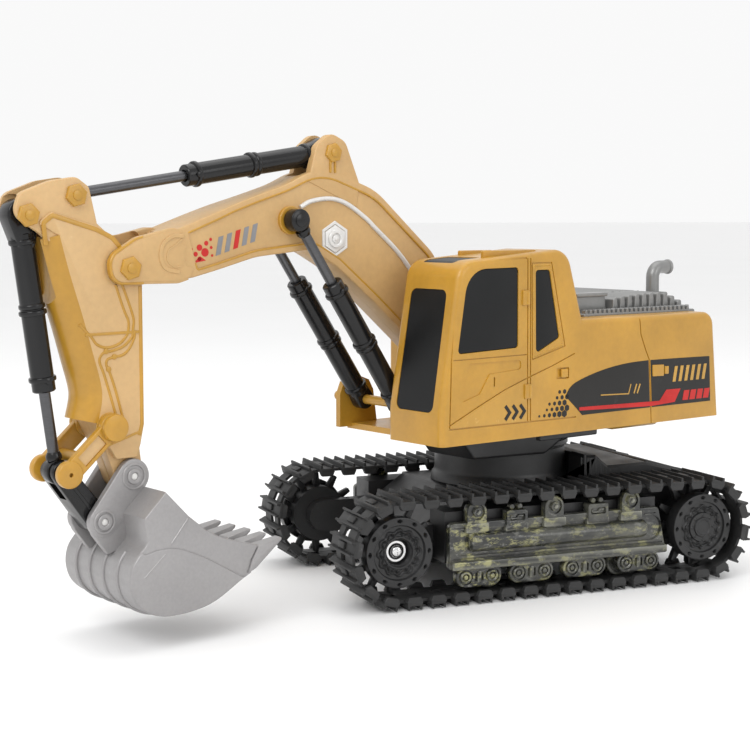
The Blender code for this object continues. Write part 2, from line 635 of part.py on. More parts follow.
def boom_bracket():
    """The amber bracket in the bay: inner cheeks hold the boom, outer cheeks hold its rams."""
    bracket = node("boom_bracket", box(-BAY + 0.2, CAB_X0 - 0.4, -70, -24, FLOOR_Z, FLOOR_Z + 2.5), "house",
                   "amber_plastic")
    inner = rounded((-50, 68), (-44, 106, 8), (-25, 106, 6), (-25, 68))
    for side in (1, -1):
        join(bracket, plate(inner, side * (BOOM_X + GAP + 0.2), side * 10.6), "house")
    ear = rounded((-76, 68), (-76, 89, 7), (-59, 89, 7), (-56, 68))
    for x0, x1 in ((16.6, 17.6), (-19.8, -17.0)):
        join(bracket, plate(ear, x0, x1), "house")
    drilled(bracket, [(BOOM_ROOT, 2.3), (BOOM_RAM_BASE, 2.3)], "yz", -25, 19, "house")
    weld(bracket)
    node("boom_pin", cross_pin(BOOM_ROOT, -11.5, 11.5, 2.0), "house", "steel")
    node("boom_ram_pin", cross_pin(BOOM_RAM_BASE, -29, 17.5, 2.0), "house", "amber_plastic")


def house():
    house_shell()
    windows()
    floor_and_neck()
    slew_drive()
    engine_top()
    electrics()
    boom_bracket()


# ---- boom -----------------------------------------------------------------------------


def boom():
    body = rounded(*BOOM_OUTLINE)
    for label, side in SIDES:
        name = "boom_" + label
        half = node(name, tray(body, side * BOOM_X, side * 0.15, 1.8), "boom", "tan_plastic")
        root = capsule(BOOM_ROOT, (-40, 108), 9.5)
        join(half, plate(root, side * 0.15, side * (BOOM_X - 0.1)), "boom")
        lug = rounded((-110, 172), (-106, 184, 4), (-99, 189.5, 5), (-91.5, 186, 5), (-82, 171))
        join(half, plate(lug, side * 4.2, side * (BOOM_X - 0.1)), "boom")
        cut(half, plate(capsule(STICK_RAM_BASE, (-118, 179), 7.4), side * 0.1, side * 4.1), "boom")
        cheek = capsule(STICK_PIVOT, (-158, 145.5), 7.5, 9.0)
        join(half, plate(cheek, side * 5.0, side * FORK_X1, edge=0.6), "boom")
        cut(half, plate(circle(STICK_PIVOT, 17.5, 20), side * 0.0, side * FORK_X0), "boom")
        join(half, plate(circle(BOOM_RAM_TOP, 5.5), side * (BOOM_X - 1), side * 8.6), "boom")
        join(half, cross_pin(BOOM_RAM_TOP, side * (BOOM_X - 1), side * 12.6, 1.5, 12), "boom")
        drilled(half, [(BOOM_ROOT, 2.3), (STICK_PIVOT, 2.8)], "yz", -1 * side, side * 20, "boom")
        if side > 0:
            join(half, cross_pin(STICK_RAM_BASE, -8.6, 6.1, 2.0), "boom")
            join(half, cross_pin(STICK_RAM_BASE, 6.6, 9.0, 3.4, 6), "boom")
        else:
            drilled(half, [(STICK_RAM_BASE, 2.3)], "yz", 1, -20, "boom")
    node("stick_pin", cross_pin(STICK_PIVOT, -12.4, 12.4, 2.5), "boom", "tan_plastic")


# ---- stick ----------------------------------------------------------------------------


def stick():
    for label, side in SIDES:
        half = node("stick_" + label, tray(rounded(*STICK_OUTLINE), side * STICK_X, side * 0.15, 1.8),
                    "stick", "tan_plastic")
        ear = rounded((-235.5, 157, 5), (-233, 164.5, 5), (-221, 169, 12), (-211, 170.5, 4), (-206, 167, 3),
                      (-203, 154), (-197, 149), (-220, 146), (-226, 151))
        join(half, plate(ear, side * 4.3, side * STICK_X, edge=0.5), "stick")
        join(half, plate(capsule((-193.5, 74), BUCKET_PIVOT, 7.0, 5.6), side * 0.15, side * 5.4), "stick")
        boss = plate(circle(ROCKER_PIVOT, 5.2), side * 0.15, side * STICK_X)
        join(half, boss, "stick")
        cut(half, plate(capsule(STICK_RAM_TOP, (-195, 167), 7.0), side * 0.0, side * 4.2), "stick")
        cut(half, plate(capsule(BUCKET_RAM_BASE, (-226, 130), 7.4), side * 0.0, side * 5.2), "stick")
        drilled(half, [(STICK_PIVOT, 2.8), (ROCKER_PIVOT, 2.3), (BUCKET_PIVOT, 2.3)], "yz", -1 * side,
                side * 20, "stick")
        for pivot, radius in ((STICK_RAM_TOP, 1.6), (BUCKET_RAM_BASE, 1.8)):
            if side > 0:
                join(half, cross_pin(pivot, -9.2, 6.1, radius), "stick")
                join(half, cross_pin(pivot, 6.6, 9.6, 3.4, 6), "stick")
            else:
                drilled(half, [(pivot, radius + GAP)], "yz", 1, -20, "stick")
    node("rocker_pin", cross_pin(ROCKER_PIVOT, -13, 13, 2.0), "stick", "amber_plastic")
    node("bucket_pin", cross_pin(BUCKET_PIVOT, -9.2, 9.2, 2.0, 16, 1.1), "stick", "silver_plastic")


# ---- rams -----------------------------------------------------------------------------
def between(a, b, share_mm):
    """The point a number of millimetres from a towards b."""
    a, b = Vector(a), Vector(b)
    return a + (b - a).normalized() * share_mm


def ram_barrel(name, on, x, base, top, start, end, bore, half=EYE_HALF):
    """A barrel with an eye on its pin, three collars and a bore for the rod."""
    direction = Vector((0, *(Vector(top) - Vector(base)))).normalized()
    r = BARREL_R
    profile = [(0, start), (r - 0.8, start), (r, start + 1.5)]
    for at in (0.2, 0.56, 0.92):
        level = start + at * (end - start)
        profile += [(r, level - 1.2), (r + 0.7, level - 0.9), (r + 0.7, level + 0.9), (r, level + 1.2)]
    profile += [(r, end), (ROD_R + GAP, end), (ROD_R + GAP, start + 6), (0, start + 6)]
    barrel = node(name, aim(turned(profile, 12), (x, *base), direction), on, "gloss_black")
    join(barrel, plate(capsule(base, between(base, top, start + 3), r, r - 0.8), x - half, x + half), on)
    drilled(barrel, [(base, bore)], "yz", x - 6, x + 6, on)
    weld(barrel)


def ram_rod(name, on, x, base, top, start, eye_r, bore, half=EYE_HALF, blind=0.0):
    """A rod from inside the barrel to an eye that fits loosely on its pin."""
    length = (Vector(top) - Vector(base)).length
    shaft = rod((x, *between(base, top, start)), (x, *between(base, top, length - eye_r + 0.8)), ROD_R, 12)
    piece = node(name, shaft, on, "dark_steel")
    join(piece, plate(circle(top, eye_r), x - half, x + half), on)
    if blind:
        cut(piece, plate(circle(top, bore, 14), x - blind * (half + 1), x + blind * (half - 1.2)), on)
    else:
        drilled(piece, [(top, bore)], "yz", x - 6, x + 6, on, 14)


def rams():
    for label, side in SIDES:
        ram_barrel("boom_ram_barrel_" + label, "boom_ram", side * BOOM_RAM_X, BOOM_RAM_BASE, BOOM_RAM_TOP,
                   3.0, 61, 2.3, 2.8)
        ram_rod("boom_ram_rod_" + label, "boom_rod", side * BOOM_RAM_X, BOOM_RAM_BASE, BOOM_RAM_TOP,
                18, 4.4, 3.4, 2.9, side)
    ram_barrel("stick_ram_barrel", "stick_ram", 0, STICK_RAM_BASE, STICK_RAM_TOP, 5.0, 65, 2.3)
    ram_rod("stick_ram_rod", "stick_rod", 0, STICK_RAM_BASE, STICK_RAM_TOP, 25, 5.2, 3.7)
    ram_barrel("bucket_ram_barrel", "bucket_ram", 0, BUCKET_RAM_BASE, ROCKER_END, 17.0, 63, 2.1)
    ram_rod("bucket_ram_rod", "bucket_rod", 0, BUCKET_RAM_BASE, ROCKER_END, 39.5, 4.6, 3.4, 2.2)


# ---- bucket linkage -------------------------------------------------------------------
def linkage():
    arm = capsule(ROCKER_PIVOT, ROCKER_END, 4.6, 4.4)
    rocker = node("rocker_link", plate(arm, 8.4, 11.4, edge=0.5), "rocker", "amber_plastic")
    middle = (-210.2, 70.0)
    join(rocker, cross_pin(middle, -9.5, 9.5, 2.4), "rocker")
    join(rocker, plate(arm, -8.4, -11.4, edge=0.5), "rocker")
    join(rocker, cross_pin(ROCKER_END, -9, 9, 1.5), "rocker")
    drilled(rocker, [(ROCKER_PIVOT, 2.3)], "yz", -15, 15, "rocker")
    link = node("tie_link", plate(capsule(ROCKER_END, LINK_PIVOT, 3.9, 4.6), -5.2, 5.2), "tie_link",
                "black_plastic")
    cut(link, plate(capsule(ROCKER_END, between(ROCKER_END, LINK_PIVOT, 5), 6.5), -2.6, 2.6), "tie_link")
    drilled(link, [(ROCKER_END, 1.8)], "yz", -8, 8, "tie_link")
    drilled(link, [(LINK_PIVOT, 3.2)], "yz", -8, 8, "tie_link", 14)


def bucket():
    """A one-piece moulding: bent shell, two side plates, ears, teeth and back ribs."""
    outer = [Vector(p) for p in ((-185.5, 58.5), (-193, 50), (-194.5, 40.5), (-199.5, 34), (-201.3, 27),
                                 (-200, 20), (-195, 14.5), (-187, 12), (-178, 11.8), (-165, 15.5), (-150, 23))]
    normals = []
    for i, here in enumerate(outer):
        along = outer[min(i + 1, len(outer) - 1)] - outer[max(i - 1, 0)]
        normals.append(Vector((-along.y, along.x)).normalized())
    inner = [p + n * 2.0 for p, n in zip(outer, normals)]
    shell = node("bucket", plate(outer + inner[::-1], -BUCKET_X, BUCKET_X), "bucket", "grey_bucket")
    mouth = [Vector(p) for p in ((-146, 28.5), (-145.5, 34), (-160, 39), (-174, 47.5))]
    cheek = inset(outer + mouth, 0.05)
    for side in (1, -1):
        join(shell, plate(cheek, side * (BUCKET_X - 2), side * (BUCKET_X + 0.3)), "bucket")
        ear = capsule(LINK_PIVOT, BUCKET_PIVOT, 5.6, 6.4)
        join(shell, plate(ear, side * 5.8, side * 8.6), "bucket")
        web = rounded((-190, 60), (-203, 44), (-197.5, 34.5), (-192, 41), (-184.5, 57))
        join(shell, plate(web, side * 5.8, side * 8.6), "bucket")
    teeth = [Vector(p) for p in ((-152, 22.2), (-146, 24.5), (-133.5, 35.5), (-135, 36.2), (-148, 28),
                                 (-152, 25))]
    for k in range(5):
        middle = (k - 2) * 10.6
        join(shell, plate(teeth, middle - 2.6, middle + 2.6), "bucket")
    drilled(shell, [(BUCKET_PIVOT, 2.3)], "yz", -12, 12, "bucket")
    join(shell, cross_pin(LINK_PIVOT, -8.0, 8.0, 1.6, 12), "bucket")


# ---- assembly -------------------------------------------------------------------------
def axes():
    axis("base", None, ORIGIN_X, ORIGIN_Y, 0)
    for label, side in SIDES:
        axis("sprocket_" + label, "base", 0, WHEEL_Y, WHEEL_Z)
        axis("idler_" + label, "base", 0, -WHEEL_Y, WHEEL_Z)
        axis("drive_pinion_" + label, "base", 0, *MOTOR_AT)
        for end, y in zip(("front", "rear"), ROLLER_Y):
            axis(f"roller_{end}_{label}", "base", 0, y, ROLLER_Z)
    axis("house", "base", 0, 0, 0, SLEW_REST_DEG)
    axis("slew_pinion", "house", *SLEW_MOTOR_AT, 0)
    axis("power_switch", "house", *SWITCH_AT, FLOOR_Z)
    axis("boom", "house", 0, *BOOM_ROOT)
    axis("boom_ram", "house", 0, *BOOM_RAM_BASE)
    axis("boom_rod", "boom_ram", 0, *BOOM_RAM_TOP)
    axis("stick", "boom", 0, *STICK_PIVOT)
    axis("stick_ram", "boom", 0, *STICK_RAM_BASE)
    axis("stick_rod", "stick_ram", 0, *STICK_RAM_TOP)
    axis("bucket", "stick", 0, *BUCKET_PIVOT)
    axis("rocker", "stick", 0, *ROCKER_PIVOT)
    axis("tie_link", "rocker", 0, *ROCKER_END)
    axis("bucket_ram", "stick", 0, *BUCKET_RAM_BASE)
    axis("bucket_rod", "bucket_ram", 0, *ROCKER_END)


def main():
    for old in list(bpy.data.objects):
        bpy.data.objects.remove(old, do_unlink=True)
    axes()
    undercarriage()
    house()
    boom()
    stick()
    rams()
    linkage()
    bucket()


main()
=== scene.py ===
"""Looks for the toy tracked excavator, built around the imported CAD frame.

Shapes are drawn in millimetres, in the frame of the undercarriage (BASE) or of the slewed
upper works (HOUSE): forward is -Y, the cab side is +X, up is +Z.
"""
import json
import math

import bmesh
import bpy
from mathutils import Matrix, Vector


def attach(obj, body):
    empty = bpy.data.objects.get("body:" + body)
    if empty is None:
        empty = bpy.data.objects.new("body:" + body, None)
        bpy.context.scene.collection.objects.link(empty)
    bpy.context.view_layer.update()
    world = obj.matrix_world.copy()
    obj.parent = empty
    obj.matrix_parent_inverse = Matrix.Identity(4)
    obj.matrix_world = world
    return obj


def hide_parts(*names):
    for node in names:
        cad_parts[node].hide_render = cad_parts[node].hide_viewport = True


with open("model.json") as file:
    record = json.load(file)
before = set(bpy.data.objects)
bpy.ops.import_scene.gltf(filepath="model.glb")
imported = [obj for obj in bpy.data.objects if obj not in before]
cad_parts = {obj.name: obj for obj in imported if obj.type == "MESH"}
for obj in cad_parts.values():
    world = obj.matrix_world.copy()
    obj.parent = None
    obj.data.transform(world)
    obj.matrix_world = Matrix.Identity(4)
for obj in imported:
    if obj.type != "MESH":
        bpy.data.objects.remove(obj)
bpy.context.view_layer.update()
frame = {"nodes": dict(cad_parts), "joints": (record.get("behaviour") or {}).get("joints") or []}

MM = 0.001
JOINTS = {joint["name"]: joint for joint in frame["joints"]}
SIDES = (("left", 1), ("right", -1))


# ---- frames, read from the record --------------------------------------------------------
def slew_frames():
    """The millimetre frames of the undercarriage and of the turned upper works."""
    x, y = JOINTS["slew"]["pos_m"][:2]
    across = JOINTS["boom_lift"]["axis"]
    turn = math.atan2(-across[1], -across[0])
    base = Matrix.Translation((x, y, 0)) @ Matrix.Scale(MM, 4)
    return base, base @ Matrix.Rotation(turn, 4, "Z")


BASE, HOUSE = slew_frames()


def pivot(joint, frame_matrix=None):
    """A joint's (y, z) in the millimetres of the upper works, or of another frame."""
    at = (frame_matrix or HOUSE).inverted() @ Vector(JOINTS[joint]["pos_m"])
    return Vector((at.y, at.z))


BOOM_ROOT = pivot("boom_lift")
STICK_PIVOT = pivot("stick_swing")
BUCKET_PIVOT = pivot("bucket_curl")
ROCKER_PIVOT = pivot("rocker_swing")
ROCKER_END = pivot("tie_link_swing")
BOOM_RAM_BASE = pivot("boom_ram_tilt")
STICK_RAM_BASE = pivot("stick_ram_tilt")
BUCKET_RAM_BASE = pivot("bucket_ram_tilt")
SPROCKET = pivot("sprocket_left_spin", BASE)
IDLER = pivot("idler_left_spin", BASE)
BOOM_RAM_TOP = Vector((-119, 155))
STICK_RAM_TOP = Vector((-211.5, 164))
LINK_PIVOT = Vector((-203, 46.5))

WHEEL_Y, WHEEL_Z = SPROCKET
BELT_IN, BELT_OUT = 19.3, 20.9      # radii of the belt's inner and outer faces round a wheel
BELT_X0, BELT_X1 = 32.5, 58.0       # the belt's edges, out from the middle plane
SHOES = 40
WHEEL_FACE_X, WHEEL_TEETH = 53.1, 12
DECK_Z, HOUSE_X = 114.0, 51.0       # top of the rear body, and half its width


# ---- outlines -----------------------------------------------------------------------------
def rounded(*corners, arc=12):
    """A closed outline through corners (a, b) or (a, b, radius), the latter as fine arcs."""
    points = []
    count = len(corners)
    for i, corner in enumerate(corners):
        here = Vector(corner[:2])
        radius = corner[2] if len(corner) > 2 else 0.0
        if not radius:
            points.append(here)
            continue
        before = (Vector(corners[i - 1][:2]) - here).normalized()
        after = (Vector(corners[(i + 1) % count][:2]) - here).normalized()
        half = before.angle(after) / 2
        reach = radius / math.tan(half)
        centre = here + (before + after).normalized() * (radius / math.sin(half))
        start, end = here + before * reach - centre, here + after * reach - centre
        sweep = start.angle_signed(end)
        steps = max(3, round(abs(sweep) / math.radians(arc)))
        for k in range(steps + 1):
            points.append(centre + Matrix.Rotation(-sweep * k / steps, 2) @ start)
    return points


def oblong(a0, a1, b0, b1, radius=0.0, arc=12):
    """A rectangle's outline, with all four corners rounded alike."""
    return rounded((a0, b0, radius), (a1, b0, radius), (a1, b1, radius), (a0, b1, radius), arc=arc)


def circle(centre, radius, steps=32, phase=0.0):
    """A circle's points; phase turns them by that share of one step."""
    return [Vector(centre) + radius * Vector((math.cos(t), math.sin(t)))
            for t in (math.tau * (k + phase) / steps for k in range(steps))]


def capsule(a, b, radius_a, radius_b=None, steps=14):
    """The outline round two circles and their outer tangents."""
    radius_b = radius_a if radius_b is None else radius_b
    a, b = Vector(a), Vector(b)
    along = math.atan2(b.y - a.y, b.x - a.x)
    lean = math.acos((radius_a - radius_b) / (b - a).length)
    points = []
    for centre, radius, start, end in ((b, radius_b, -lean, lean), (a, radius_a, lean, math.tau - lean)):
        for k in range(steps + 1):
            angle = along + start + (end - start) * k / steps
            points.append(centre + radius * Vector((math.cos(angle), math.sin(angle))))
    return points


def signed_area(points):
    return sum(a.x * b.y - b.x * a.y for a, b in zip(points, points[1:] + points[:1])) / 2


def inset(points, distance):
    """The outline moved inwards by a distance, or outwards by a negative one."""
    sign = 1 if signed_area(points) > 0 else -1
    moved = []
    for i, here in enumerate(points):
        before = (here - points[i - 1]).normalized()
        after = (points[(i + 1) % len(points)] - here).normalized()
        normal_a = Vector((-before.y, before.x)) * sign
        normal_b = Vector((-after.y, after.x)) * sign
        middle = (normal_a + normal_b).normalized()
        moved.append(here + middle * distance / max(0.5, middle.dot(normal_a)))
    return moved


def smooth_path(points, per_span=6):
    """Points of a Catmull-Rom curve through the given ones."""
    points = [Vector(p) for p in points]
    ends = [2 * points[0] - points[1]] + points + [2 * points[-1] - points[-2]]
    path = []
    for i in range(1, len(ends) - 2):
        a, b, c, d = ends[i - 1:i + 3]
        for k in range(per_span):
            t = k / per_span
            path.append(0.5 * (2 * b + (c - a) * t + (2 * a - 5 * b + 4 * c - d) * t * t
                               + (3 * b - a - 3 * c + d) * t ** 3))
    return path + [points[-1]]


def ribbon(points, width):
    """The outline of a strip of even width along an open path."""
    points = [Vector(p) for p in points]
    left, right = [], []
    for i, here in enumerate(points):
        before = (here - points[i - 1]).normalized() if i else None
        after = (points[i + 1] - here).normalized() if i + 1 < len(points) else None
        along = ((before or after) + (after or before)).normalized()
        normal = Vector((-along.y, along.x))
        stretch = 1.0 / max(0.5, normal.dot(Vector((-(before or after).y, (before or after).x))))
        left.append(here + normal * width / 2 * stretch)
        right.append(here - normal * width / 2 * stretch)
    return left + right[::-1]


# ---- solids, all as bmesh in millimetres ----------------------------------------------------
def place_point(point, level, plane):
    if plane == "yz":
        return (level, point.x, point.y)
    if plane == "xz":
        return (point.x, level, point.y)
    return (point.x, point.y, level)


def skinned(mesh, loops, closed=False):
    """Close loops of vertices into a solid: quads between neighbours, and caps unless it is a ring."""
    for low, high in list(zip(loops, loops[1:])) + ([(loops[-1], loops[0])] if closed else []):
        for i in range(len(low)):
            j = (i + 1) % len(low)
            mesh.faces.new((low[i], low[j], high[j], high[i]))
    if not closed:
        mesh.faces.new(loops[0])
        mesh.faces.new(loops[-1])
    bmesh.ops.recalc_face_normals(mesh, faces=mesh.faces)
    return mesh


def stack(rings, plane="yz", closed=False):
    """A solid through flat rings, each (points, level)."""
    mesh = bmesh.new()
    loops = [[mesh.verts.new(place_point(p, level, plane)) for p in points] for points, level in rings]
    return skinned(mesh, loops, closed)


def slab(points, start, end, edge=0.0, turns=3, plane="yz"):
    """An outline extruded from start to end, with rims rounded to the radius edge."""
    if not edge:
        return stack([(points, start), (points, end)], plane)
    sign = 1 if end > start else -1
    rings = []
    for k in range(turns + 1):
        angle = math.pi / 2 * k / turns
        ring = inset(points, edge * (1 - math.sin(angle))) if k < turns else points
        rings.append((ring, edge * (1 - math.cos(angle))))
    near = [(ring, start + sign * level) for ring, level in rings]
    far = [(ring, end - sign * level) for ring, level in reversed(rings)]
    return stack(near + far, plane)


def one_sided(points, start, end, edge=0.5, turns=3):
    """Like slab, but only the rim at end is rounded."""
    sign = 1 if end > start else -1
    rings = [(points, start)]
    for k in range(turns + 1):
        angle = math.pi / 2 * k / turns
        ring = inset(points, edge * (1 - math.cos(angle))) if k else points
        rings.append((ring, end - sign * edge * (1 - math.sin(angle))))
    return stack(rings)


def hoop(points, width, start, end, edge=0.3):
    """A raised border that follows an outline on its inner side."""
    inner = inset(points, width)
    low = end - edge if end > start else end + edge
    rings = [(points, start), (points, low), (inset(points, edge), end), (inset(points, width - edge), end),
             (inner, low), (inner, start)]
    return stack(rings, closed=True)


def lathe(profile, steps=40):
    """A turned solid about Z; it is solid when the profile starts on the axis."""
    solid = profile[0][0] == 0
    rings = [(circle((0, 0), radius, steps), height) for radius, height in profile if radius]
    return stack(rings, "xy", closed=not solid)


def aim(mesh, start, direction):
    """Turn a solid from the Z axis to a direction, and put its origin at start."""
    turn = Vector((0, 0, 1)).rotation_difference(Vector(direction).normalized())
    bmesh.ops.transform(mesh, matrix=Matrix.Translation(Vector(start)) @ turn.to_matrix().to_4x4(),
                        verts=mesh.verts)
    return mesh


def pin(centre, x0, x1, radius, steps=32, edge=0.3):
    """A round bar along X with a rounded rim at both ends."""
    length = abs(x1 - x0)
    e = min(edge, radius * 0.6, length * 0.3)
    profile = [(0, 0), (radius - e, 0), (radius - e * 0.3, e * 0.3), (radius, e), (radius, length - e),
               (radius - e * 0.3, length - e * 0.3), (radius - e, length), (0, length)]
    return aim(lathe(profile, steps), (x0, *centre), (x1 - x0, 0, 0))


def ring(centre, x0, x1, outer, inner, steps=32):
    """A tube along X with its far rim broken."""
    length, edge = abs(x1 - x0), 0.25
    profile = [(inner, 0), (outer, 0), (outer, length - edge), (outer - edge, length),
               (inner + edge, length), (inner, length - edge)]
    return aim(lathe(profile, steps), (x0, *centre), (x1 - x0, 0, 0))


def block(x0, x1, y0, y1, z0, z1, edge=0.3):
    """A box with rounded vertical edges and rims."""
    x0, x1 = sorted((x0, x1))
    r = min(edge * 1.3, (y1 - y0) * 0.4, (z1 - z0) * 0.4)
    return slab(oblong(y0, y1, z0, z1, r, arc=30), x0, x1, min(edge, r * 0.7, (x1 - x0) * 0.4), 2)


def tube(points, radius, steps=16):
    """A round bar along a list of 3-D points."""
    points = [Vector(p) for p in points]
    mesh = bmesh.new()
    loops = []
    side = Vector((1, 0, 0)) if abs((points[1] - points[0]).normalized().x) < 0.9 else Vector((0, 1, 0))
    for i, here in enumerate(points):
        along = (points[min(i + 1, len(points) - 1)] - points[max(i - 1, 0)]).normalized()
        side = (side - along * side.dot(along)).normalized()
        up = along.cross(side)
        loops.append([mesh.verts.new(here + radius * (math.cos(t) * side + math.sin(t) * up))
                      for t in (math.tau * k / steps for k in range(steps))])
    return skinned(mesh, loops)


def merged(*meshes):
    """One bmesh with the contents of several, which are freed."""
    total = bmesh.new()
    for mesh in meshes:
        part = bpy.data.meshes.new("part")
        mesh.to_mesh(part)
        mesh.free()
        total.from_mesh(part)
        bpy.data.meshes.remove(part)
    return total


def moved(mesh, x=0, y=0, z=0):
    """The mesh itself, shifted."""
    bmesh.ops.translate(mesh, verts=mesh.verts, vec=(x, y, z))
    return mesh


def spun(mesh, angle, centre):
    """Turned about the X line through a (y, z) point."""
    there = Matrix.Translation((0, *centre))
    about = there @ Matrix.Rotation(angle, 4, "X") @ there.inverted()
    bmesh.ops.transform(mesh, matrix=about, verts=mesh.verts)
    return mesh


def linked(name, data):
    """A new object, linked to the scene."""
    made = bpy.data.objects.new(name, data)
    bpy.context.collection.objects.link(made)
    return made


def mesh_object(name, mesh):
    """A new object that holds a bmesh, which is freed."""
    data = bpy.data.meshes.new(name)
    mesh.to_mesh(data)
    mesh.free()
    return linked(name, data)


OPERATIONS = {"+": "UNION", "-": "DIFFERENCE", "&": "INTERSECT"}


def carved(mesh, *steps):
    """The mesh after boolean steps, each (a key of OPERATIONS, bmesh)."""
    target = mesh_object("loose", mesh)
    tools = []
    for sign, tool in steps:
        tools.append(mesh_object("loose", tool))
        change = target.modifiers.new("carve", "BOOLEAN")
        change.operation, change.solver, change.object = OPERATIONS[sign], "MANIFOLD", tools[-1]
    result = bmesh.new()
    result.from_mesh(target.evaluated_get(bpy.context.evaluated_depsgraph_get()).to_mesh())
    for old in [target] + tools:
        bpy.data.objects.remove(old)
    return result


def cut(*outline, **options):
    """A step for carved that takes a slab away."""
    return "-", slab(*outline, **options)


def add(*outline, **options):
    """A step for carved that joins a slab on."""
    return "+", slab(*outline, **options)


def piece(name, mesh, body, finish, frame_matrix=HOUSE, replaces=(), angle=32):
    """Turn a bmesh in millimetres, or a list of them, into a shown piece that rides on a CAD body."""
    if isinstance(mesh, list):
        mesh = merged(*mesh)
    bmesh.ops.transform(mesh, matrix=frame_matrix, verts=mesh.verts)
    made = mesh_object(name, mesh)
    made.data.materials.append(finish)
    made.data.shade_smooth()
    made.data.set_sharp_from_angle(angle=math.radians(angle))
    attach(made, body)
    if replaces:
        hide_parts(*replaces)


# ---- materials ------------------------------------------------------------------------------
class Shader:
    """A small builder for one procedural material."""

    def __init__(self, name):
        self.material = bpy.data.materials.new(name)
        self.material.use_nodes = True
        self.tree = self.material.node_tree
        self.surface = self.tree.nodes["Principled BSDF"]
        self.place = self.node("ShaderNodeTexCoord").outputs["Object"]

    def feed(self, socket, value):
        """Link another node's output to a socket, or set the socket's own value."""
        if isinstance(value, bpy.types.NodeSocket):
            self.tree.links.new(value, socket)
        else:
            socket.default_value = value

    def node(self, kind, **inputs):
        made = self.tree.nodes.new(kind)
        for key, value in inputs.items():
            self.feed(made.inputs[key.replace("_", " ")], value)
        return made

    def stretch(self, scale):
        """Squeeze every later texture along the axes."""
        self.place = self.node("ShaderNodeMapping", Vector=self.place, Scale=scale).outputs["Vector"]

    def noise(self, scale, detail=3.0, roughness=0.55):
        return self.node("ShaderNodeTexNoise", Vector=self.place, Scale=scale, Detail=detail,
                         Roughness=roughness).outputs["Fac"]

    def ramp(self, value, *stops):
        """A colour ramp through (position, grey or colour) stops."""
        made = self.node("ShaderNodeValToRGB", Fac=value)
        stops = [(at, (v, v, v, 1) if isinstance(v, (int, float)) else (*v, 1)) for at, v in stops]
        elements = made.color_ramp.elements
        while len(elements) < len(stops):
            elements.new(0.5)
        for element, (at, colour) in zip(elements, stops):
            element.position, element.color = at, colour
        return made.outputs["Color"]

    def mix(self, share, a, b, blend="MIX"):
        made = self.tree.nodes.new("ShaderNodeMix")
        made.data_type, made.blend_type = "RGBA", blend
        for place, value in ((0, share), (6, a), (7, b)):
            self.feed(made.inputs[place], (*value, 1) if isinstance(value, tuple) else value)
        return made.outputs[2]

    def edges(self, low=0.52, high=0.60):
        """Bright on worn convex edges."""
        return self.ramp(self.node("ShaderNodeNewGeometry").outputs["Pointiness"], (low, 0.0), (high, 1.0))

    def bump(self, height, distance, strength=1.0):
        made = self.node("ShaderNodeBump", Height=height, Distance=distance, Strength=strength)
        self.tree.links.new(made.outputs["Normal"], self.surface.inputs["Normal"])

    def set(self, **values):
        for key, value in values.items():
            self.feed(self.surface.inputs[key.replace("_", " ")], value)
        return self.material


def moulded(name, colour, rough, worn, grain=900.0, depth=0.00003, coat=0.0, metallic=0.0, mottle=0.12,
            sub=0.0, shine=0.5):
    """Moulded plastic: slightly uneven colour, fine surface texture and lighter worn edges."""
    shader = Shader(name)
    darker = tuple(c * (1 - mottle * 1.6) for c in colour)
    body = shader.mix(shader.ramp(shader.noise(38, 4), (0.35, 0.0), (0.68, 1.0)), darker, colour)
    fine = shader.ramp(shader.noise(grain * 0.5, 2), (0.3, 0.93), (0.7, 1.0))
    body = shader.mix(1.0, body, fine, "MULTIPLY")
    scuff = shader.ramp(shader.noise(260, 5, 0.7), (0.62, 0.0), (0.74, 1.0))
    edge = shader.mix(0.85, shader.edges(0.56, 0.68), scuff, "MULTIPLY")
    body = shader.mix(edge, body, worn)
    uneven = shader.ramp(shader.noise(60, 3), (0.3, rough - 0.05), (0.7, rough + 0.08))
    shader.bump(shader.noise(grain, 2), depth, 0.5)
    return shader.set(Base_Color=body, Roughness=uneven, Metallic=metallic, Coat_Weight=coat,
                      Coat_Roughness=0.12, Specular_IOR_Level=shine, Subsurface_Weight=sub,
                      Subsurface_Scale=0.004)


def weathered(name):
    """The undercarriage panels: dark olive plastic with dry-brushed grey and pale yellow patches."""
    shader = Shader(name)
    shader.stretch((1, 0.5, 1))
    base = shader.mix(shader.ramp(shader.noise(75, 4, 0.6), (0.46, 0.0), (0.64, 1.0)),
                      (0.010, 0.011, 0.010), (0.075, 0.075, 0.060))
    pale = shader.ramp(shader.noise(230, 6, 0.75), (0.52, 0.0), (0.60, 1.0))
    region = shader.ramp(shader.noise(34, 2), (0.38, 0.25), (0.56, 1.0))
    base = shader.mix(shader.mix(1.0, pale, region, "MULTIPLY"), base, (0.30, 0.29, 0.125))
    dust = shader.mix(1.0, shader.ramp(shader.noise(520, 4, 0.7), (0.55, 0.0), (0.70, 1.0)), region,
                      "MULTIPLY")
    base = shader.mix(dust, base, (0.20, 0.20, 0.18))
    base = shader.mix(shader.edges(0.54, 0.70), base, (0.20, 0.20, 0.16))
    shader.bump(shader.noise(600, 4), 0.00008, 0.4)
    return shader.set(Base_Color=base, Coat_Weight=0.45, Coat_Roughness=0.12,
                      Roughness=shader.ramp(shader.noise(120, 3), (0.3, 0.24), (0.7, 0.42)))


def steel(name, colour, rough):
    """Bare metal with fine brushing."""
    shader, brushed = Shader(name), 400.0
    shader.stretch((1, 1, 9))
    tone = shader.ramp(shader.noise(brushed, 4), (0.3, tuple(c * 0.8 for c in colour)), (0.7, colour))
    shader.bump(shader.noise(brushed, 2), 0.00002, 0.4)
    return shader.set(Base_Color=tone, Metallic=1.0,
                      Roughness=shader.ramp(shader.noise(90, 3), (0.3, rough), (0.7, rough + 0.12)))


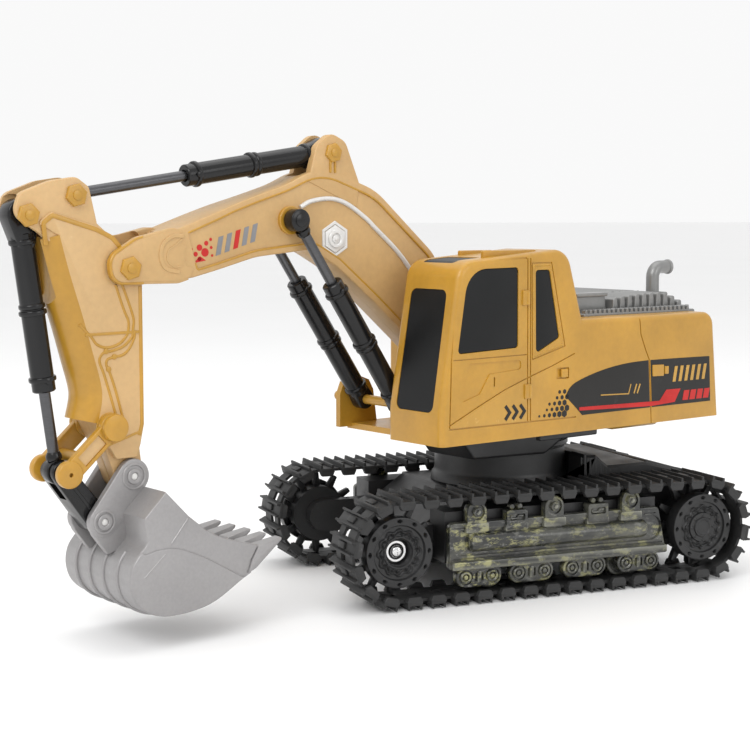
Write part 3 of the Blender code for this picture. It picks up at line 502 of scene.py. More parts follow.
AMBER = moulded("amber", (0.518, 0.270, 0.026), 0.36, (0.68, 0.44, 0.13), coat=0.2, sub=0.03)
TAN = moulded("tan", (0.600, 0.385, 0.170), 0.46, (0.70, 0.52, 0.30), coat=0.08, mottle=0.06, sub=0.03)
TAN_DEEP = moulded("tan_deep", (0.560, 0.350, 0.145), 0.46, (0.66, 0.47, 0.24), coat=0.08, mottle=0.06,
                   sub=0.03)
BLACK = moulded("black", (0.0165, 0.0165, 0.017), 0.40, (0.075, 0.075, 0.075), mottle=0.2)
GLOSS = moulded("gloss_black", (0.0075, 0.0075, 0.008), 0.20, (0.04, 0.04, 0.04), coat=0.1, grain=500,
                mottle=0.1, shine=0.32)
PANE = moulded("dark_pane", (0.0085, 0.0090, 0.0095), 0.36, (0.025, 0.025, 0.025), grain=1500,
               depth=0.00001, shine=0.22)
RUBBER = moulded("rubber", (0.0205, 0.0205, 0.0205), 0.55, (0.10, 0.10, 0.10), grain=700, depth=0.00005,
                 mottle=0.2)
GREY = moulded("bucket_grey", (0.335, 0.325, 0.325), 0.40, (0.48, 0.47, 0.47), grain=1600, depth=0.00004,
               metallic=0.35, mottle=0.05)
SILVER = moulded("silver", (0.27, 0.27, 0.265), 0.34, (0.50, 0.50, 0.49), metallic=0.55, mottle=0.1)
PALE = moulded("pale_silver", (0.72, 0.71, 0.69), 0.30, (0.80, 0.80, 0.80), metallic=0.25, mottle=0.05)
WHITE_GEAR = moulded("white_gear", (0.72, 0.72, 0.69), 0.45, (0.80, 0.80, 0.78))
BOARD = moulded("board", (0.02, 0.15, 0.06), 0.4, (0.05, 0.2, 0.1))
WRAP = moulded("battery_wrap", (0.03, 0.07, 0.30), 0.35, (0.1, 0.15, 0.4))
INK_BLACK = moulded("print_black", (0.020, 0.0185, 0.017), 0.42, (0.05, 0.05, 0.05), shine=0.25)
INK_RED = moulded("print_red", (0.56, 0.020, 0.018), 0.42, (0.62, 0.08, 0.07), shine=0.25)
INK_GREY = moulded("print_grey", (0.25, 0.25, 0.26), 0.45, (0.3, 0.3, 0.3), shine=0.3)
CAMO = weathered("weathered")
CHROME = steel("bright_steel", (0.80, 0.80, 0.80), 0.14)
ROD = steel("dark_rod", (0.115, 0.115, 0.12), 0.28)
BRASS = steel("brass", (0.72, 0.50, 0.20), 0.28)

# the CAD nodes that are shown as they are
CAD_FINISH = (
    (BLACK, ("chassis", "chassis_cover", "power_switch", "track_frame_left", "track_frame_right")),
    (AMBER, ("battery_cover", "boom_bracket", "boom_ram_pin", "rocker_pin")),
    (CHROME, ("king_pin", "boom_pin")),
    (BRASS, ("slew_pinion", "drive_pinion_left", "drive_pinion_right")),
    (ROD, ("slew_motor", "drive_motor_left", "drive_motor_right")),
    (WHITE_GEAR, ("drive_gear_left", "drive_gear_right")),
    (WRAP, ("battery_pack",)),
    (BOARD, ("circuit_board",)),
)
for finish, cad_names in CAD_FINISH:
    for cad_name in cad_names:
        frame["nodes"][cad_name].data.materials.clear()
        frame["nodes"][cad_name].data.materials.append(finish)


# ---- undercarriage --------------------------------------------------------------------------
def on_path(distance, radius):
    """(point, direction outwards) on the belt's path: two straights and two half circles."""
    straight, bend = 2 * WHEEL_Y, math.pi * radius
    distance %= 2 * (straight + bend)
    if distance < bend:
        centre, angle = SPROCKET, math.pi / 2 - distance / radius
    elif distance < bend + straight:
        return Vector((WHEEL_Y - (distance - bend), WHEEL_Z - radius)), Vector((0, -1))
    elif distance < 2 * bend + straight:
        centre, angle = Vector((-WHEEL_Y, WHEEL_Z)), -math.pi / 2 - (distance - bend - straight) / radius
    else:
        return Vector((distance - 2 * bend - straight - WHEEL_Y, WHEEL_Z + radius)), Vector((0, 1))
    out = Vector((math.cos(angle), math.sin(angle)))
    return centre + radius * out, out


def shoe(side):
    """One shoe of the belt, drawn with the path along Y and outwards along Z from the belt's inner face."""
    x0, x1 = side * BELT_X0, side * BELT_X1
    parts = [block(x0, x1, -3.3, 3.3, 0.1, 1.9, 0.3)]
    for end in (-1, 1):
        rib = rounded((end * 3.2, 1.5), (end * 3.0, 3.45, 0.15), (end * 2.2, 3.45, 0.15), (end * 1.9, 1.5),
                      arc=40)
        parts.append(slab(rib, x0 + side * 0.5, x1 - side * 0.2, 0.15, 1))
    for a, b in ((x0, x0 + side * 2.2), (x1 - side * 2.4, x1)):
        lip = rounded((-3.5, 0.5), (-2.5, -1.7, 0.4), (2.5, -1.7, 0.4), (3.5, 0.5), arc=40)
        parts.append(slab(lip, a, b, 0.2, 1))
    parts.append(block(x0 + side * 9.5, x1 - side * 9.5, -1.4, 1.4, 1.7, 2.9, 0.3))
    return merged(*parts)


def track_belt(label, side):
    """Two lanes of web all round, and the shoes on them."""
    pitch = (4 * WHEEL_Y + math.tau * BELT_OUT) / SHOES
    parts = []
    count = SHOES * 4
    inner, outer = [[on_path((k + 0.5) * (4 * WHEEL_Y + math.tau * radius) / count, radius)[0]
                     for k in range(count)] for radius in (BELT_IN, BELT_OUT - 0.4)]
    for near, far in ((36.5, 41.5), (46.5, 54.0)):
        rings = [(inner, side * near), (outer, side * near), (outer, side * far), (inner, side * far)]
        parts.append(stack(rings, closed=True))
    for k in range(SHOES):
        at, out = on_path((k + 0.5) * pitch, BELT_OUT)
        made = shoe(side)
        angle = math.atan2(out.y, out.x) - math.pi / 2
        bmesh.ops.transform(made, verts=made.verts,
                            matrix=Matrix.Translation((0, *(at - out * (BELT_OUT - BELT_IN))))
                            @ Matrix.Rotation(angle, 4, "X"))
        parts.append(made)
    piece("belt_" + label, parts, "undercarriage", RUBBER, BASE, ("track_belt_" + label,))


def step(value, edge, width=0.3):
    """Rises smoothly from 0 to 1 where value passes edge."""
    t = min(1.0, max(0.0, (value - edge) / width + 0.5))
    return t * t * (3 - 2 * t)


def face_relief(r, angle, capped):
    """How far out of the wheel's middle plane its outer face stands, at a radius and angle."""
    def from_spot(count, circle_r):
        """Distance from the nearest of count spots, evenly round a circle."""
        share = math.pi / count
        nearest = (angle + share) % (2 * share) - share
        return math.hypot(r * math.cos(nearest) - circle_r, r * math.sin(nearest))

    # a raised rim, two lobed lines inside it, and a ring of holes
    level = WHEEL_FACE_X + 0.95 * step(r, 11.0, 0.35)
    lobes = 9.2 + 0.55 * math.cos(WHEEL_TEETH * angle)
    level += 0.75 * (step(r, lobes - 0.8, 0.3) - step(r, lobes, 0.3))
    level += 0.5 * (step(r, lobes - 2.0, 0.3) - step(r, lobes - 1.5, 0.3))
    level -= 1.3 * (1 - step(from_spot(WHEEL_TEETH, 12.8), 0.62, 0.3))
    if capped:
        # a stepped cap with eight studs
        level += 0.9 * (1 - step(r, 6.4, 0.3)) + 0.6 * (1 - step(r, 4.2, 0.3))
        level -= 0.5 * (1 - step(r, 3.2, 0.4))
        level += 0.45 * (1 - step(from_spot(8, 5.3), 0.55, 0.25))
    else:
        # a line round the sunk hub
        level += 0.6 * (step(r, 5.9, 0.3) - step(r, 6.7, 0.3))
        level -= 4.2 * (1 - step(r, 5.3, 0.5))
    return level


def wheel(name, side, centre, body, node, capped):
    """A turned wheel with a moulded face and twelve teeth; only a capped one has a closed hub."""
    steps, disc = 144, 14.4
    bore = 0.35 if capped else 2.3
    radii = [bore + (disc - 0.5 - bore) * k / 44 for k in range(45)]
    mesh = bmesh.new()

    def loop(radius, level):
        return [mesh.verts.new((side * level(t), centre.x + radius * math.cos(t),
                                centre.y + radius * math.sin(t)))
                for t in (math.tau * k / steps for k in range(steps))]

    loops = [loop(r, lambda t, r=r: face_relief(r, t, capped)) for r in radii]
    for r, level in ((disc - 0.15, 53.9), (disc, 53.5), (disc, 47.9), (disc - 0.4, 47.5), (12.4, 47.5),
                     (12.4, 38.3), (12.1, 38.0), (2.4, 38.0)):
        loops.append(loop(r, lambda t, level=level: level))
    if capped:
        loops.append(loop(2.4, lambda t: 46.0))
    parts = [skinned(mesh, loops, closed=not capped)]
    for k in range(WHEEL_TEETH):
        peg = rounded((12.0, -1.7), (12.0, 1.7), (18.4, 1.0, 0.5), (18.4, -1.0, 0.5), arc=30)
        peg = slab([p + centre for p in peg], side * 42.2, side * 45.3, 0.4, 2)
        parts.append(spun(peg, math.tau / WHEEL_TEETH * k, centre))
    piece(name, parts, body, BLACK, BASE, (node,))


def cross_screw(label, side):
    """A pan head with a cross recess on its washer."""
    head = lathe([(0, 0), (2.55, 0), (2.6, 0.5), (2.3, 1.2), (1.7, 1.65), (0.9, 1.85), (0, 1.9)], 40)
    arms = [cut(oblong(-a, a, -b, b), 0.9, 2.5, plane="xy") for a, b in ((1.6, 0.28), (0.27, 1.6))]
    head = moved(carved(head, *arms), z=0.55)
    washer = lathe([(3.2, 0), (4.3, 0), (4.45, 0.1), (4.45, 0.6), (4.2, 0.8), (3.4, 0.8), (3.2, 0.6)], 48)
    made = aim(merged(head, washer), (side * 49.3, *IDLER), (side, 0, 0))
    piece("hub_screw_" + label, made, "undercarriage", CHROME, BASE, ("idler_screw_" + label,))


def out_from_middle(side):
    """Turns a distance from the middle plane into an x on one side."""
    return lambda distance: side * distance


def side_cover(label, side):
    """The weathered outer panel: long bulge, five tabs above it and four links below."""
    at = out_from_middle(side)
    panel = slab(rounded((-49, 14.4, 0.8), (-49, 33, 2), (49, 33.5, 2), (53, 14.4, 0.8)), at(50.1),
                 at(53.6), 0.6)
    cuts = [cut(capsule((-42, 24.8), (45, 24.8), 5.5), at(52.5), at(55)),
            cut(ribbon(((-47.5, 18.3), (51, 18.3)), 0.55), at(52.8), at(55)),
            cut(ribbon(((-47, 30.9), (-42.5, 30.9), (-42.5, 29.6), (42, 29.6), (42, 30.9), (47.5, 31.0)),
                       0.45), at(53.0), at(55))]
    parts = [carved(panel, *cuts)]
    bulge = [(0, 0), (2.6, 0), (3.6, 0.7), (4.0, 2.0), (4.0, 81.0), (3.6, 82.3), (2.6, 83.0), (0, 83.0)]
    parts.append(aim(lathe(bulge, 36), (at(52.9), -40.5, 24.8), (0, 1, 0)))
    parts.append(block(at(51.4), at(56.4), -49, 52, 14.0, 17.5, 0.7))
    for y in (-37, -1.5, 35):
        tab = slab(capsule((y, 30.5), (y, 37.2), 4.4), at(50.1), at(54.4), 0.5)
        parts.append(carved(tab, cut(circle((y, 37.2), 3.3), at(53.4), at(56))))
        parts.append(block(at(50.3), at(54.9), y - 5.2, y + 5.2, 28.8, 32.6, 0.5))
        bolt = circle((y + 0.3, 37.1), 2.1, 6)
        parts.append(one_sided(bolt, at(52.8), at(55.0), 0.35))
        parts.append(pin((y + 0.3, 37.1), at(54.5), at(55.5), 1.0, 20, 0.25))
    for y in (-19, 19):
        tab = slab(rounded((y - 4.8, 29, 0.6), (y + 4.8, 29, 0.6), (y + 4.8, 37, 0.8), (y - 4.8, 37, 0.8)),
                   at(50.1), at(54.9), 0.4)
        slot = oblong(y - 3.6, y + 3.6, 32.6, 35.4, 0.8)
        parts.append(carved(tab, cut(slot, at(53.6), at(56))))
        parts.append(tube([(at(53.9), *p) for p in smooth_path(((y - 2.8, 34.4), (y - 2.2, 33.4),
                                                                (y + 0.2, 33.4), (y + 1.0, 34.4),
                                                                (y + 2.8, 34.3)), 4)], 0.5, 10))
        parts.append(block(at(50.3), at(54.6), y - 5.3, y + 5.3, 28.4, 31.2, 0.5))
        parts += [pin((y + ahead, 38.2), at(50.3), at(53.6), 1.1, 16) for ahead in (-1.8, 1.8)]
    for start, end in ((-42, -30), (-18, -6), (7, 19), (33, 45)):
        link = carved(slab(capsule((start, 10.6), (end, 10.6), 4.2), at(50.6), at(54.3), 0.4),
                      *[cut(circle((y, 10.6), 3.2), at(53.5), at(56)) for y in (start, end)],
                      cut(oblong(start + 4.1, end - 4.1, 8.9, 12.3, 0.5), at(53.4), at(56)))
        parts.append(link)
        for y in (start, end):
            parts.append(ring((y, 10.6), at(53.2), at(54.9), 2.5, 1.5, 24))
            parts.append(pin((y, 10.6), at(53.2), at(54.7), 1.0, 16))
        middle = (start + end) / 2
        parts.append(block(at(53.2), at(54.7), middle - 0.8, middle + 0.8, 8.2, 13.0, 0.3))
    piece("side_panel_" + label, parts, "undercarriage", CAMO, BASE,
          ("side_cover_" + label,))


def roller(label, side, end):
    """A bottom roller with two flanges and a bearing ring."""
    centre = pivot(f"roller_{end}_{label}_spin", BASE)
    profile = [(1.6, 0), (5.2, 0), (5.6, 0.4), (5.6, 2.2), (4.6, 2.6), (4.6, 4.6), (5.6, 5.0), (5.6, 7.0),
               (5.2, 7.4), (4.2, 7.4), (3.9, 7.0), (2.6, 7.0), (2.4, 7.5), (1.6, 7.5)]
    piece(f"road_roller_{end}_{label}", aim(lathe(profile, 40), (side * 42, *centre), (side, 0, 0)),
          f"roller_{end}_{label}_body", CAMO, BASE, (f"roller_{end}_{label}",))


def chassis_trim():
    """Raised parts of the black chassis: drum, vent fins behind it and tread plate on the rear deck."""
    parts = [lathe([(26, 41.0), (30.4, 41.0), (30.6, 41.4), (30.0, 44.0), (29.2, 45.0), (28.8, 46.5),
                    (28.8, 56.4), (28.4, 56.9), (26, 56.9)], 128)]
    for side in (1, -1):
        for k in range(6):
            y = 25.6 + 2.5 * k
            top = 54.4 - 1.4 * k
            fin = rounded((y - 0.6, 40.5), (y - 0.6, top, 0.4), (y + 0.5, top - 0.6, 0.4), (y + 1.6, 40.5))
            parts.append(slab(fin, side * 20.0, side * 31.6, 0.3, 1))
        parts.append(slab(rounded((24, 40.5), (24, 53.0), (40, 43.6), (42, 40.5)), side * 19.5,
                          side * 30.6))
    for k in range(9):
        y = 58.5 + 2.9 * k
        z = 48.6 - (y - 57) * 0.25
        parts.append(tube([(-27, y, z), (27, y, z)], 0.55, 8))
    for x in (-28.2, 28.2):
        parts.append(tube([(x, 57.5, 48.6), (x, 83, 42.2)], 0.8, 10))
    piece("chassis_trim", parts, "undercarriage", BLACK, BASE)


def undercarriage():
    for label, side in SIDES:
        track_belt(label, side)
        wheel("sprocket_wheel_" + label, side, SPROCKET, f"sprocket_{label}_body", "sprocket_" + label,
              True)
        wheel("idler_wheel_" + label, side, IDLER, f"idler_{label}_body", "idler_" + label, False)
        cross_screw(label, side)
        side_cover(label, side)
        for end in ("front", "rear"):
            roller(label, side, end)
    chassis_trim()


# ---- upper works ----------------------------------------------------------------------------
FLOOR_Z, CAB_X0 = 67.0, 18.0        # lower edge of the moulding, and the cab's inner side
WALL = 3.2
ROOF_REACH = (130, 150)
FRONT_REACH = (-82, -60)
PRINT_AHEAD = 1.8                   # the prints sit this far in front of where they are drawn
DOOR_WINDOW = ((-70.4, 103.0, 1.5), (-65.0, 135.9, 11), (-38.2, 136.3, 1.5), (-38.0, 104.0, 1.5))
QUARTER_WINDOW = ((-28.0, 101, 1.5), (-28.6, 135.0, 1.5), (-20.6, 135.0, 1.5), (-14.6, 107, 1.5))
FRONT_WINDOW = ((23.0, 80, 3), (23.5, 128, 3), (45.0, 128, 3), (45.5, 80, 3))
ROOF_WINDOW = ((24.5, -66, 1.5), (43.5, -66, 1.5), (43.5, -52, 1.5), (24.5, -52, 1.5))


LOW = FLOOR_Z - 6                   # both outlines start below the floor, and are cut off at it
BODY_OUTLINE = rounded((-22, LOW), (-22, DECK_Z, 5), (83, DECK_Z, 6), (88.5, LOW), arc=9)
CAB_OUTLINE = rounded((-78.5, LOW), (-78.7, 80, 20), (-69.0, 138.9, 8.5), (-9.6, 143.5, 9), (-0.4, 114, 10),
                      (1.0, LOW), arc=9)


def groove(points, width=0.6, depth=0.45):
    """A step that cuts a line into the cab's side."""
    return cut(ribbon(points, width), HOUSE_X - depth, HOUSE_X + 3)


def recess(corners, depth):
    """A step that sinks an outline into the cab's side."""
    return cut(rounded(*corners), HOUSE_X - depth, HOUSE_X + 3)


def house_shell():
    """Body and cab in one hollow moulding, with its windows, grooves, hinges and roof rails."""
    door = [(-74.4, 73.8), (-73.6, 100), (-71.2, 128), (-68.6, 134.8), (-64.0, 138.4), (-58.5, 139.4),
            (-33.4, 139.9)]
    steps = [add(CAB_OUTLINE, CAB_X0, HOUSE_X, 2.5, 5),
             cut(inset(BODY_OUTLINE, WALL), -HOUSE_X + WALL, HOUSE_X - WALL),
             cut(inset(CAB_OUTLINE, WALL), CAB_X0 + WALL, HOUSE_X - WALL),
             ("-", block(-60, 60, -90, 100, LOW - 2, FLOOR_Z, 0.01)),
             cut(rounded(*DOOR_WINDOW), HOUSE_X - 6, HOUSE_X + 2),
             cut(rounded(*QUARTER_WINDOW), HOUSE_X - 6, HOUSE_X + 2),
             cut(rounded(*FRONT_WINDOW), *FRONT_REACH, plane="xz"),
             cut(rounded(*ROOF_WINDOW), *ROOF_REACH, plane="xy"),
             groove(door), groove(((-33.0, 139.8), (-32.4, 73.4))), groove(((-31.4, 139.8), (-30.8, 73.4))),
             groove(((-74.7, 73.8), (-4.5, 73.4))),
             groove(((-72.6, 100.7), (-33.2, 101.0)), 0.4),
             groove(((-74.2, 75.4), (-60, 81.5), (-45, 87.6), (-32.9, 91.4), (-18, 95.8), (-5.6, 100.0)),
                    0.5, 0.5),
             groove(((-30.0, 98.8), (-30.6, 137.8), (-19.6, 137.8), (-11.4, 103.4), (-30.0, 98.8)), 0.5,
                    0.4),
             groove(((33.6, 115.5), (34.8, 106), (37.8, 99.5), (40.4, 94.7), (41.9, 73.5), (42.4, 65.0)),
                    0.55, 0.5),
             recess(((-64.2, 99.0, 1), (-36.2, 99.0, 1.6), (-36.2, 95.2, 1.6), (-53.4, 94.2, 1),
                     (-58.6, 86.6, 1), (-68.4, 83.8, 1.2), (-68.6, 87.0, 1)), 0.35),
             recess(((-51.2, 92.9), (-50.5, 92.9), (-50.5, 89.2), (-51.2, 89.2)), 1.4),
             recess(((-16.0, 94.6, 0.3), (-8.8, 94.4, 0.3), (-8.8, 89.8, 0.3), (-16.0, 89.9, 0.3)), 0.9)]
    parts = [carved(slab(BODY_OUTLINE, -HOUSE_X, HOUSE_X, 2.5, 5), *steps)]
    x = HOUSE_X
    for y, z in ((-34.2, 124.0), (-32.6, 86.0)):
        parts.append(block(x - 0.5, x + 0.8, y - 1.9, y + 1.7, z - 3.0, z + 3.0, 0.35))
        parts.append(tube([(x + 0.5, y + 1.2, z - 2.6), (x + 0.5, y + 1.2, z + 2.6)], 0.75, 12))
    parts.append(hoop(rounded((-29.4, 99.6, 1), (-29.9, 137.2, 1), (-20.0, 137.2, 1), (-12.2, 103.8, 1)),
                      0.8, x - 0.4, x + 0.3))
    parts.append(block(x - 0.5, x + 0.35, -13.4, -9.6, 90.4, 93.9, 0.3))
    # two rails along the roof
    for rail_x, y0, y1, top in ((44.5, -52, -23, 143.0), (24.0, -46, -28, 142.6)):
        parts.append(block(rail_x - 1.0, rail_x + 1.0, y0, y1, 138.6, top, 0.5))
    piece("house_moulding", parts, "house", AMBER, replaces=("house_shell",), angle=28)


def windows():
    """Flat panes in the side, and curved ones that follow the cab's front and roof."""
    for name, corners in (("door_window", DOOR_WINDOW), ("quarter_window", QUARTER_WINDOW)):
        pane = one_sided(inset(rounded(*corners), 0.12), HOUSE_X - 3.0, HOUSE_X - 0.25, 0.25)
        piece(name + "_pane", pane, "house", PANE, replaces=(name,))
    for name, corners, plane, reach in (("front_window", FRONT_WINDOW, "xz", FRONT_REACH),
                                        ("roof_window", ROOF_WINDOW, "xy", ROOF_REACH)):
        band = carved(slab(inset(CAB_OUTLINE, 0.25), CAB_X0 + 1, HOUSE_X - 1),
                      cut(inset(CAB_OUTLINE, 2.8), CAB_X0, HOUSE_X))
        pane = carved(band, ("&", slab(inset(rounded(*corners), 0.12), *reach, plane=plane)))
        piece(name + "_pane", pane, "house", PANE, replaces=(name,))


def decal(name, shapes, finish, lift=0.0):
    """Thin printed shapes on the cab side's face."""
    x = HOUSE_X + lift
    made = merged(*[slab(points, x - 0.2, x + 0.12) for points in shapes])
    piece(name, moved(made, y=-PRINT_AHEAD), "house", finish)


def side_prints():
    """Generic prints: a dark band with dots, stripes, lines and slanted bars, and three chevrons."""
    swoosh = smooth_path(((-7.0, 85.4), (-3.2, 87.8), (7.0, 90.8), (18.6, 93.0), (30, 94.2), (41.6, 94.6)),
                         5)
    front = swoosh + [Vector((43.0, 74.0)), Vector((1, 73.9)), Vector((-3.0, 77.5)), Vector((-9.0, 82.5))]
    rear = rounded((42.9, 94.6), (60, 94.5), (82.0, 94.2), (83.2, 74.0), (44.3, 74.0))
    decal("print_swoosh", [front, rear], INK_BLACK)
    dots = []
    for row in range(5):
        for k in range(6 - row):
            y, z = -9.5 - 2.9 * k + 1.45 * (row % 2), 75.3 + 2.3 * row
            size = max(0.35, 1.55 - 0.2 * k - 0.13 * row)
            if y > -26 and z < 86.5 - abs(y + 9.5) * 0.55:
                dots.append(circle((y, z), size, 6, 0.5))
    decal("print_dots", dots, INK_BLACK)
    above = 0.1
    stripes = [rounded((-0.8, 77.3), (49.1, 76.4), (53.5, 81.0), (62.8, 80.9), (59.0, 75.2), (43.7, 74.5),
                       (-0.8, 75.9))]
    for k in range(4):
        y = 64.2 + 4.6 * k
        stripes.append(rounded((y, 75.6), (y + 3.6, 75.6), (y + 4.6, 79.9), (y + 1.0, 79.9)))
    decal("print_stripes", stripes, INK_RED, above)
    lines = [ribbon(((12, 81.5), (29.2, 80.9), (30.6, 85.0)), 0.5),
             ribbon(((32.6, 80.8), (34.2, 84.8)), 0.7), ribbon(((34.6, 80.7), (36.4, 84.7)), 0.7)]
    decal("print_lines", lines, AMBER, above)
    badge = []
    for k in range(6):
        y = 57.4 + 3.9 * k
        badge.append(rounded((y, 84.2), (y + 1.9, 84.2), (y + 3.3, 91.0), (y + 1.4, 91.0)))
    decal("print_bars", badge, AMBER, above)
    chevrons = [ribbon(((y, 75.3), (y + 2.4, 78.1), (y, 80.9)), 1.5) for y in (-43.0, -38.9, -34.8)]
    decal("print_chevrons", chevrons, INK_BLACK)


def latch_and_sill():
    """The latch behind the cab, and a dark sill under the shell beside the slewing floor."""
    x = HOUSE_X
    frame_square = slab(rounded((42.4, 87.4, 0.4), (49.6, 87.2, 0.4), (49.6, 92.2, 0.4), (42.2, 92.4, 0.4)),
                        x - 0.3, x + 0.5, 0.2)
    plug = slab(oblong(50.1, 52.4, 88.0, 91.4, 0.3), x - 0.3, x + 0.8, 0.25)
    piece("side_latch", merged(frame_square, plug), "house", AMBER)
    skirt = slab(rounded((-20, 63.9, 0.8), (-20, 67.2), (14, 67.2), (14, 63.9, 0.8)), -46, 46, 0.6)
    skirt = carved(skirt, ("-", block(-43.5, 43.5, -60, 60, 60, 70, 0.2)))
    piece("floor_sill", skirt, "house", BLACK)


def engine_top():
    """The louvred grey insert: front box, a domed row of ten slats, and a toothed edge on the cab side."""
    base_z = DECK_Z - 0.3
    deck = slab(rounded((10.5, base_z), (10.5, 115.2, 0.8), (82.0, 114.9, 0.8), (82.5, base_z)), -40.5,
                40.5, 0.5)
    box_line = rounded((11, base_z), (11.5, 122.4, 1.2), (31.0, 122.6, 1.2), (32.0, base_z))
    box = carved(slab(box_line, -33.5, 33.5, 0.7), ("-", block(-29.5, 29.5, 14.4, 28.6, 121.6, 126, 0.6)))
    parts = [deck, box, block(-29.5, -20.5, 16.5, 27, 120, 122.9, 0.4),
             block(30.5, 35.0, 12, 31, 122.0, 123.6, 0.4)]
    parts += [block(-16, 28, 15.6 + 2.7 * k, 16.9 + 2.7 * k, 120, 122.6, 0.3) for k in range(5)]

    def slat_height(y):
        return 120.2 + 2.6 * math.sin(math.pi * (y - 26) / 66)

    for k in range(10):
        y = 33.6 + 4.7 * k
        z = slat_height(y) if k < 8 else slat_height(y) - 1.6 * (k - 7)
        line = rounded((y, base_z), (y + 0.2, z - 0.6, 0.9), (y + 3.0, z + 0.5, 0.9), (y + 3.3, base_z))
        low = rounded((y + 3, base_z), (y + 3, z - 2.4), (y + 5.2, z - 2.4), (y + 5.2, base_z))
        right = ((17.6, 19.0), (31.0, 35.5)) if 63 < y < 75 else ((17.6, 35.5),)
        parts += [slab(line, x0, x1, 0.5, 2) for x0, x1 in ((-35.5, 16.0), *right)]
        if k < 9:
            parts.append(slab(low, -34.2, 34.2))
    for k in range(24):
        y = 11.5 + 2.85 * k
        tooth = rounded((y, base_z), (y + 0.3, 116.4), (y + 1.5, 116.9), (y + 2.0, base_z))
        parts.append(slab(tooth, 37.9, 40.2, 0.2, 1))
    piece("louvre_insert", parts, "house", SILVER, replaces=("engine_hood",), angle=30)


def exhaust():
    """A stack that bends backwards, with a foot, a collar and a lip."""
    x, y, bend, straight_top = 25.0, 71.0, 4.5, 129
    base_z, mouth_z = DECK_Z - 0.3, straight_top + bend
    path = [(x, y, base_z)]
    for k in range(11):
        angle = math.pi / 2 * k / 10
        path.append((x, y + bend - bend * math.cos(angle), straight_top + bend * math.sin(angle)))
    path.append((x, y + 10.4, mouth_z))
    pipe = tube(path, 2.95, 32)
    bore = tube([(x, y + 5.0, mouth_z), (x, y + 13, mouth_z)], 2.35, 32)
    collar = lathe([(0, 0), (3.8, 0), (3.9, 0.3), (3.9, 1.8), (3.6, 2.2), (0, 2.2)], 36)
    foot = lathe([(0, 0), (5.6, 0), (5.6, 5.2), (5.2, 5.9), (0, 5.9)], 40)
    lip = aim(lathe([(2.35, 0), (3.1, 0), (3.3, 0.3), (3.4, 1.2), (3.1, 1.6), (2.35, 1.6)], 32),
              (x, y + 9.0, mouth_z), (0, 1, 0))
    made = [carved(pipe, ("-", bore)), moved(collar, x, y, base_z + 6.6), moved(foot, x, y, base_z), lip]
    piece("exhaust_stack", made, "house", SILVER, replaces=("exhaust_pipe",))


def apron():
    """The black slewing floor: plate, its tail under the body, skirt over the drum, and ribbed collar."""
    line = rounded((-58.0, 66.6), (-50.5, 63.8, 3), (-45.0, 57.0, 2), (-4.0, 55.7, 2), (5.5, 60.7, 3),
                   (10.0, 66.6))
    skirt = carved(slab(line, 4, 33.2, 1.2, 4), cut(circle((0, 0), 31.0, 128), 50, 64.5, plane="xy"))
    plan = rounded((-36, -50, 2), (36, -50, 2), (36, 33, 4), (-36, 33, 4))
    plate = carved(slab(plan, 64.3, 66.75, 0.3, 2, "xy"), cut(circle((0, 0), 6, 48), 60, 70, plane="xy"))
    tail = block(-43.0, 43.0, 30, 81, 66.9, 68.4, 0.3)
    collar = lathe([(27, 57.35), (29.7, 57.35), (30.1, 57.8), (30.1, 59.6), (29.6, 60.0), (29.6, 61.2),
                    (30.1, 61.6), (30.1, 64.6), (27, 64.6)], 128)
    ribs = []
    for k in range(26):
        ribs.append(block(-0.5, 0.5, 29.5, 30.6, 60.2, 64.4, 0.2))
        bmesh.ops.rotate(ribs[-1], verts=ribs[-1].verts, cent=(0, 0, 0),
                         matrix=Matrix.Rotation(math.tau * k / 26, 3, "Z"))
    piece("floor_plate", [plate, tail, skirt, collar, *ribs], "house", BLACK,
          replaces=("house_floor",))


# ---- arm ------------------------------------------------------------------------------------
BOOM_X, STICK_X = 7.5, 8.0          # half widths of the boom and the stick
FORK_X0, FORK_X1 = 8.4, 11.0        # the faces of each cheek of the boom's fork
BARREL_R = 4.2
BOOM_OUTLINE = ((-24.5, 102), (-45, 141, 20), (-76, 167, 30), (-104, 176.5, 26), (-120, 169, 60),
                (-146, 161, 60), (-176, 150.5), (-177.5, 138), (-175, 132.5), (-165, 134, 4),
                (-135, 141, 40), (-109, 143.5, 12), (-96, 136.5, 16), (-76, 121, 30), (-44, 94))


BOOM_FACE = rounded((-27.8, 103.5, 2), (-47, 139.2, 20), (-77, 164.0, 30), (-104, 173.2, 24),
                    (-120, 166.4, 60), (-146, 158.4, 60), (-167.5, 150.4, 1), (-163.5, 136.8, 1),
                    (-135, 143.6, 40), (-107, 146.4, 12), (-94.5, 139.6, 16), (-75, 124.0, 30),
                    (-45, 98.5, 2), arc=5)
BOOM_CHEEK = rounded((-199.4, 132.2, 5.5), (-200.6, 142.2, 6), (-189.4, 148.9, 8), (-174.0, 152.6, 6),
                     (-169.4, 151.6), (-167.2, 133.2), (-171.5, 132.0, 8), arc=6)


def hex_head(centre, x0, x1, radius, side):
    """A hexagon with a small round tip."""
    head = one_sided(circle(centre, radius, 6, 0.25), side * x0, side * x1, 0.5)
    return merged(head, pin(centre, side * (x1 - 0.2), side * (x1 + 0.35), radius * 0.42, 24, 0.12))


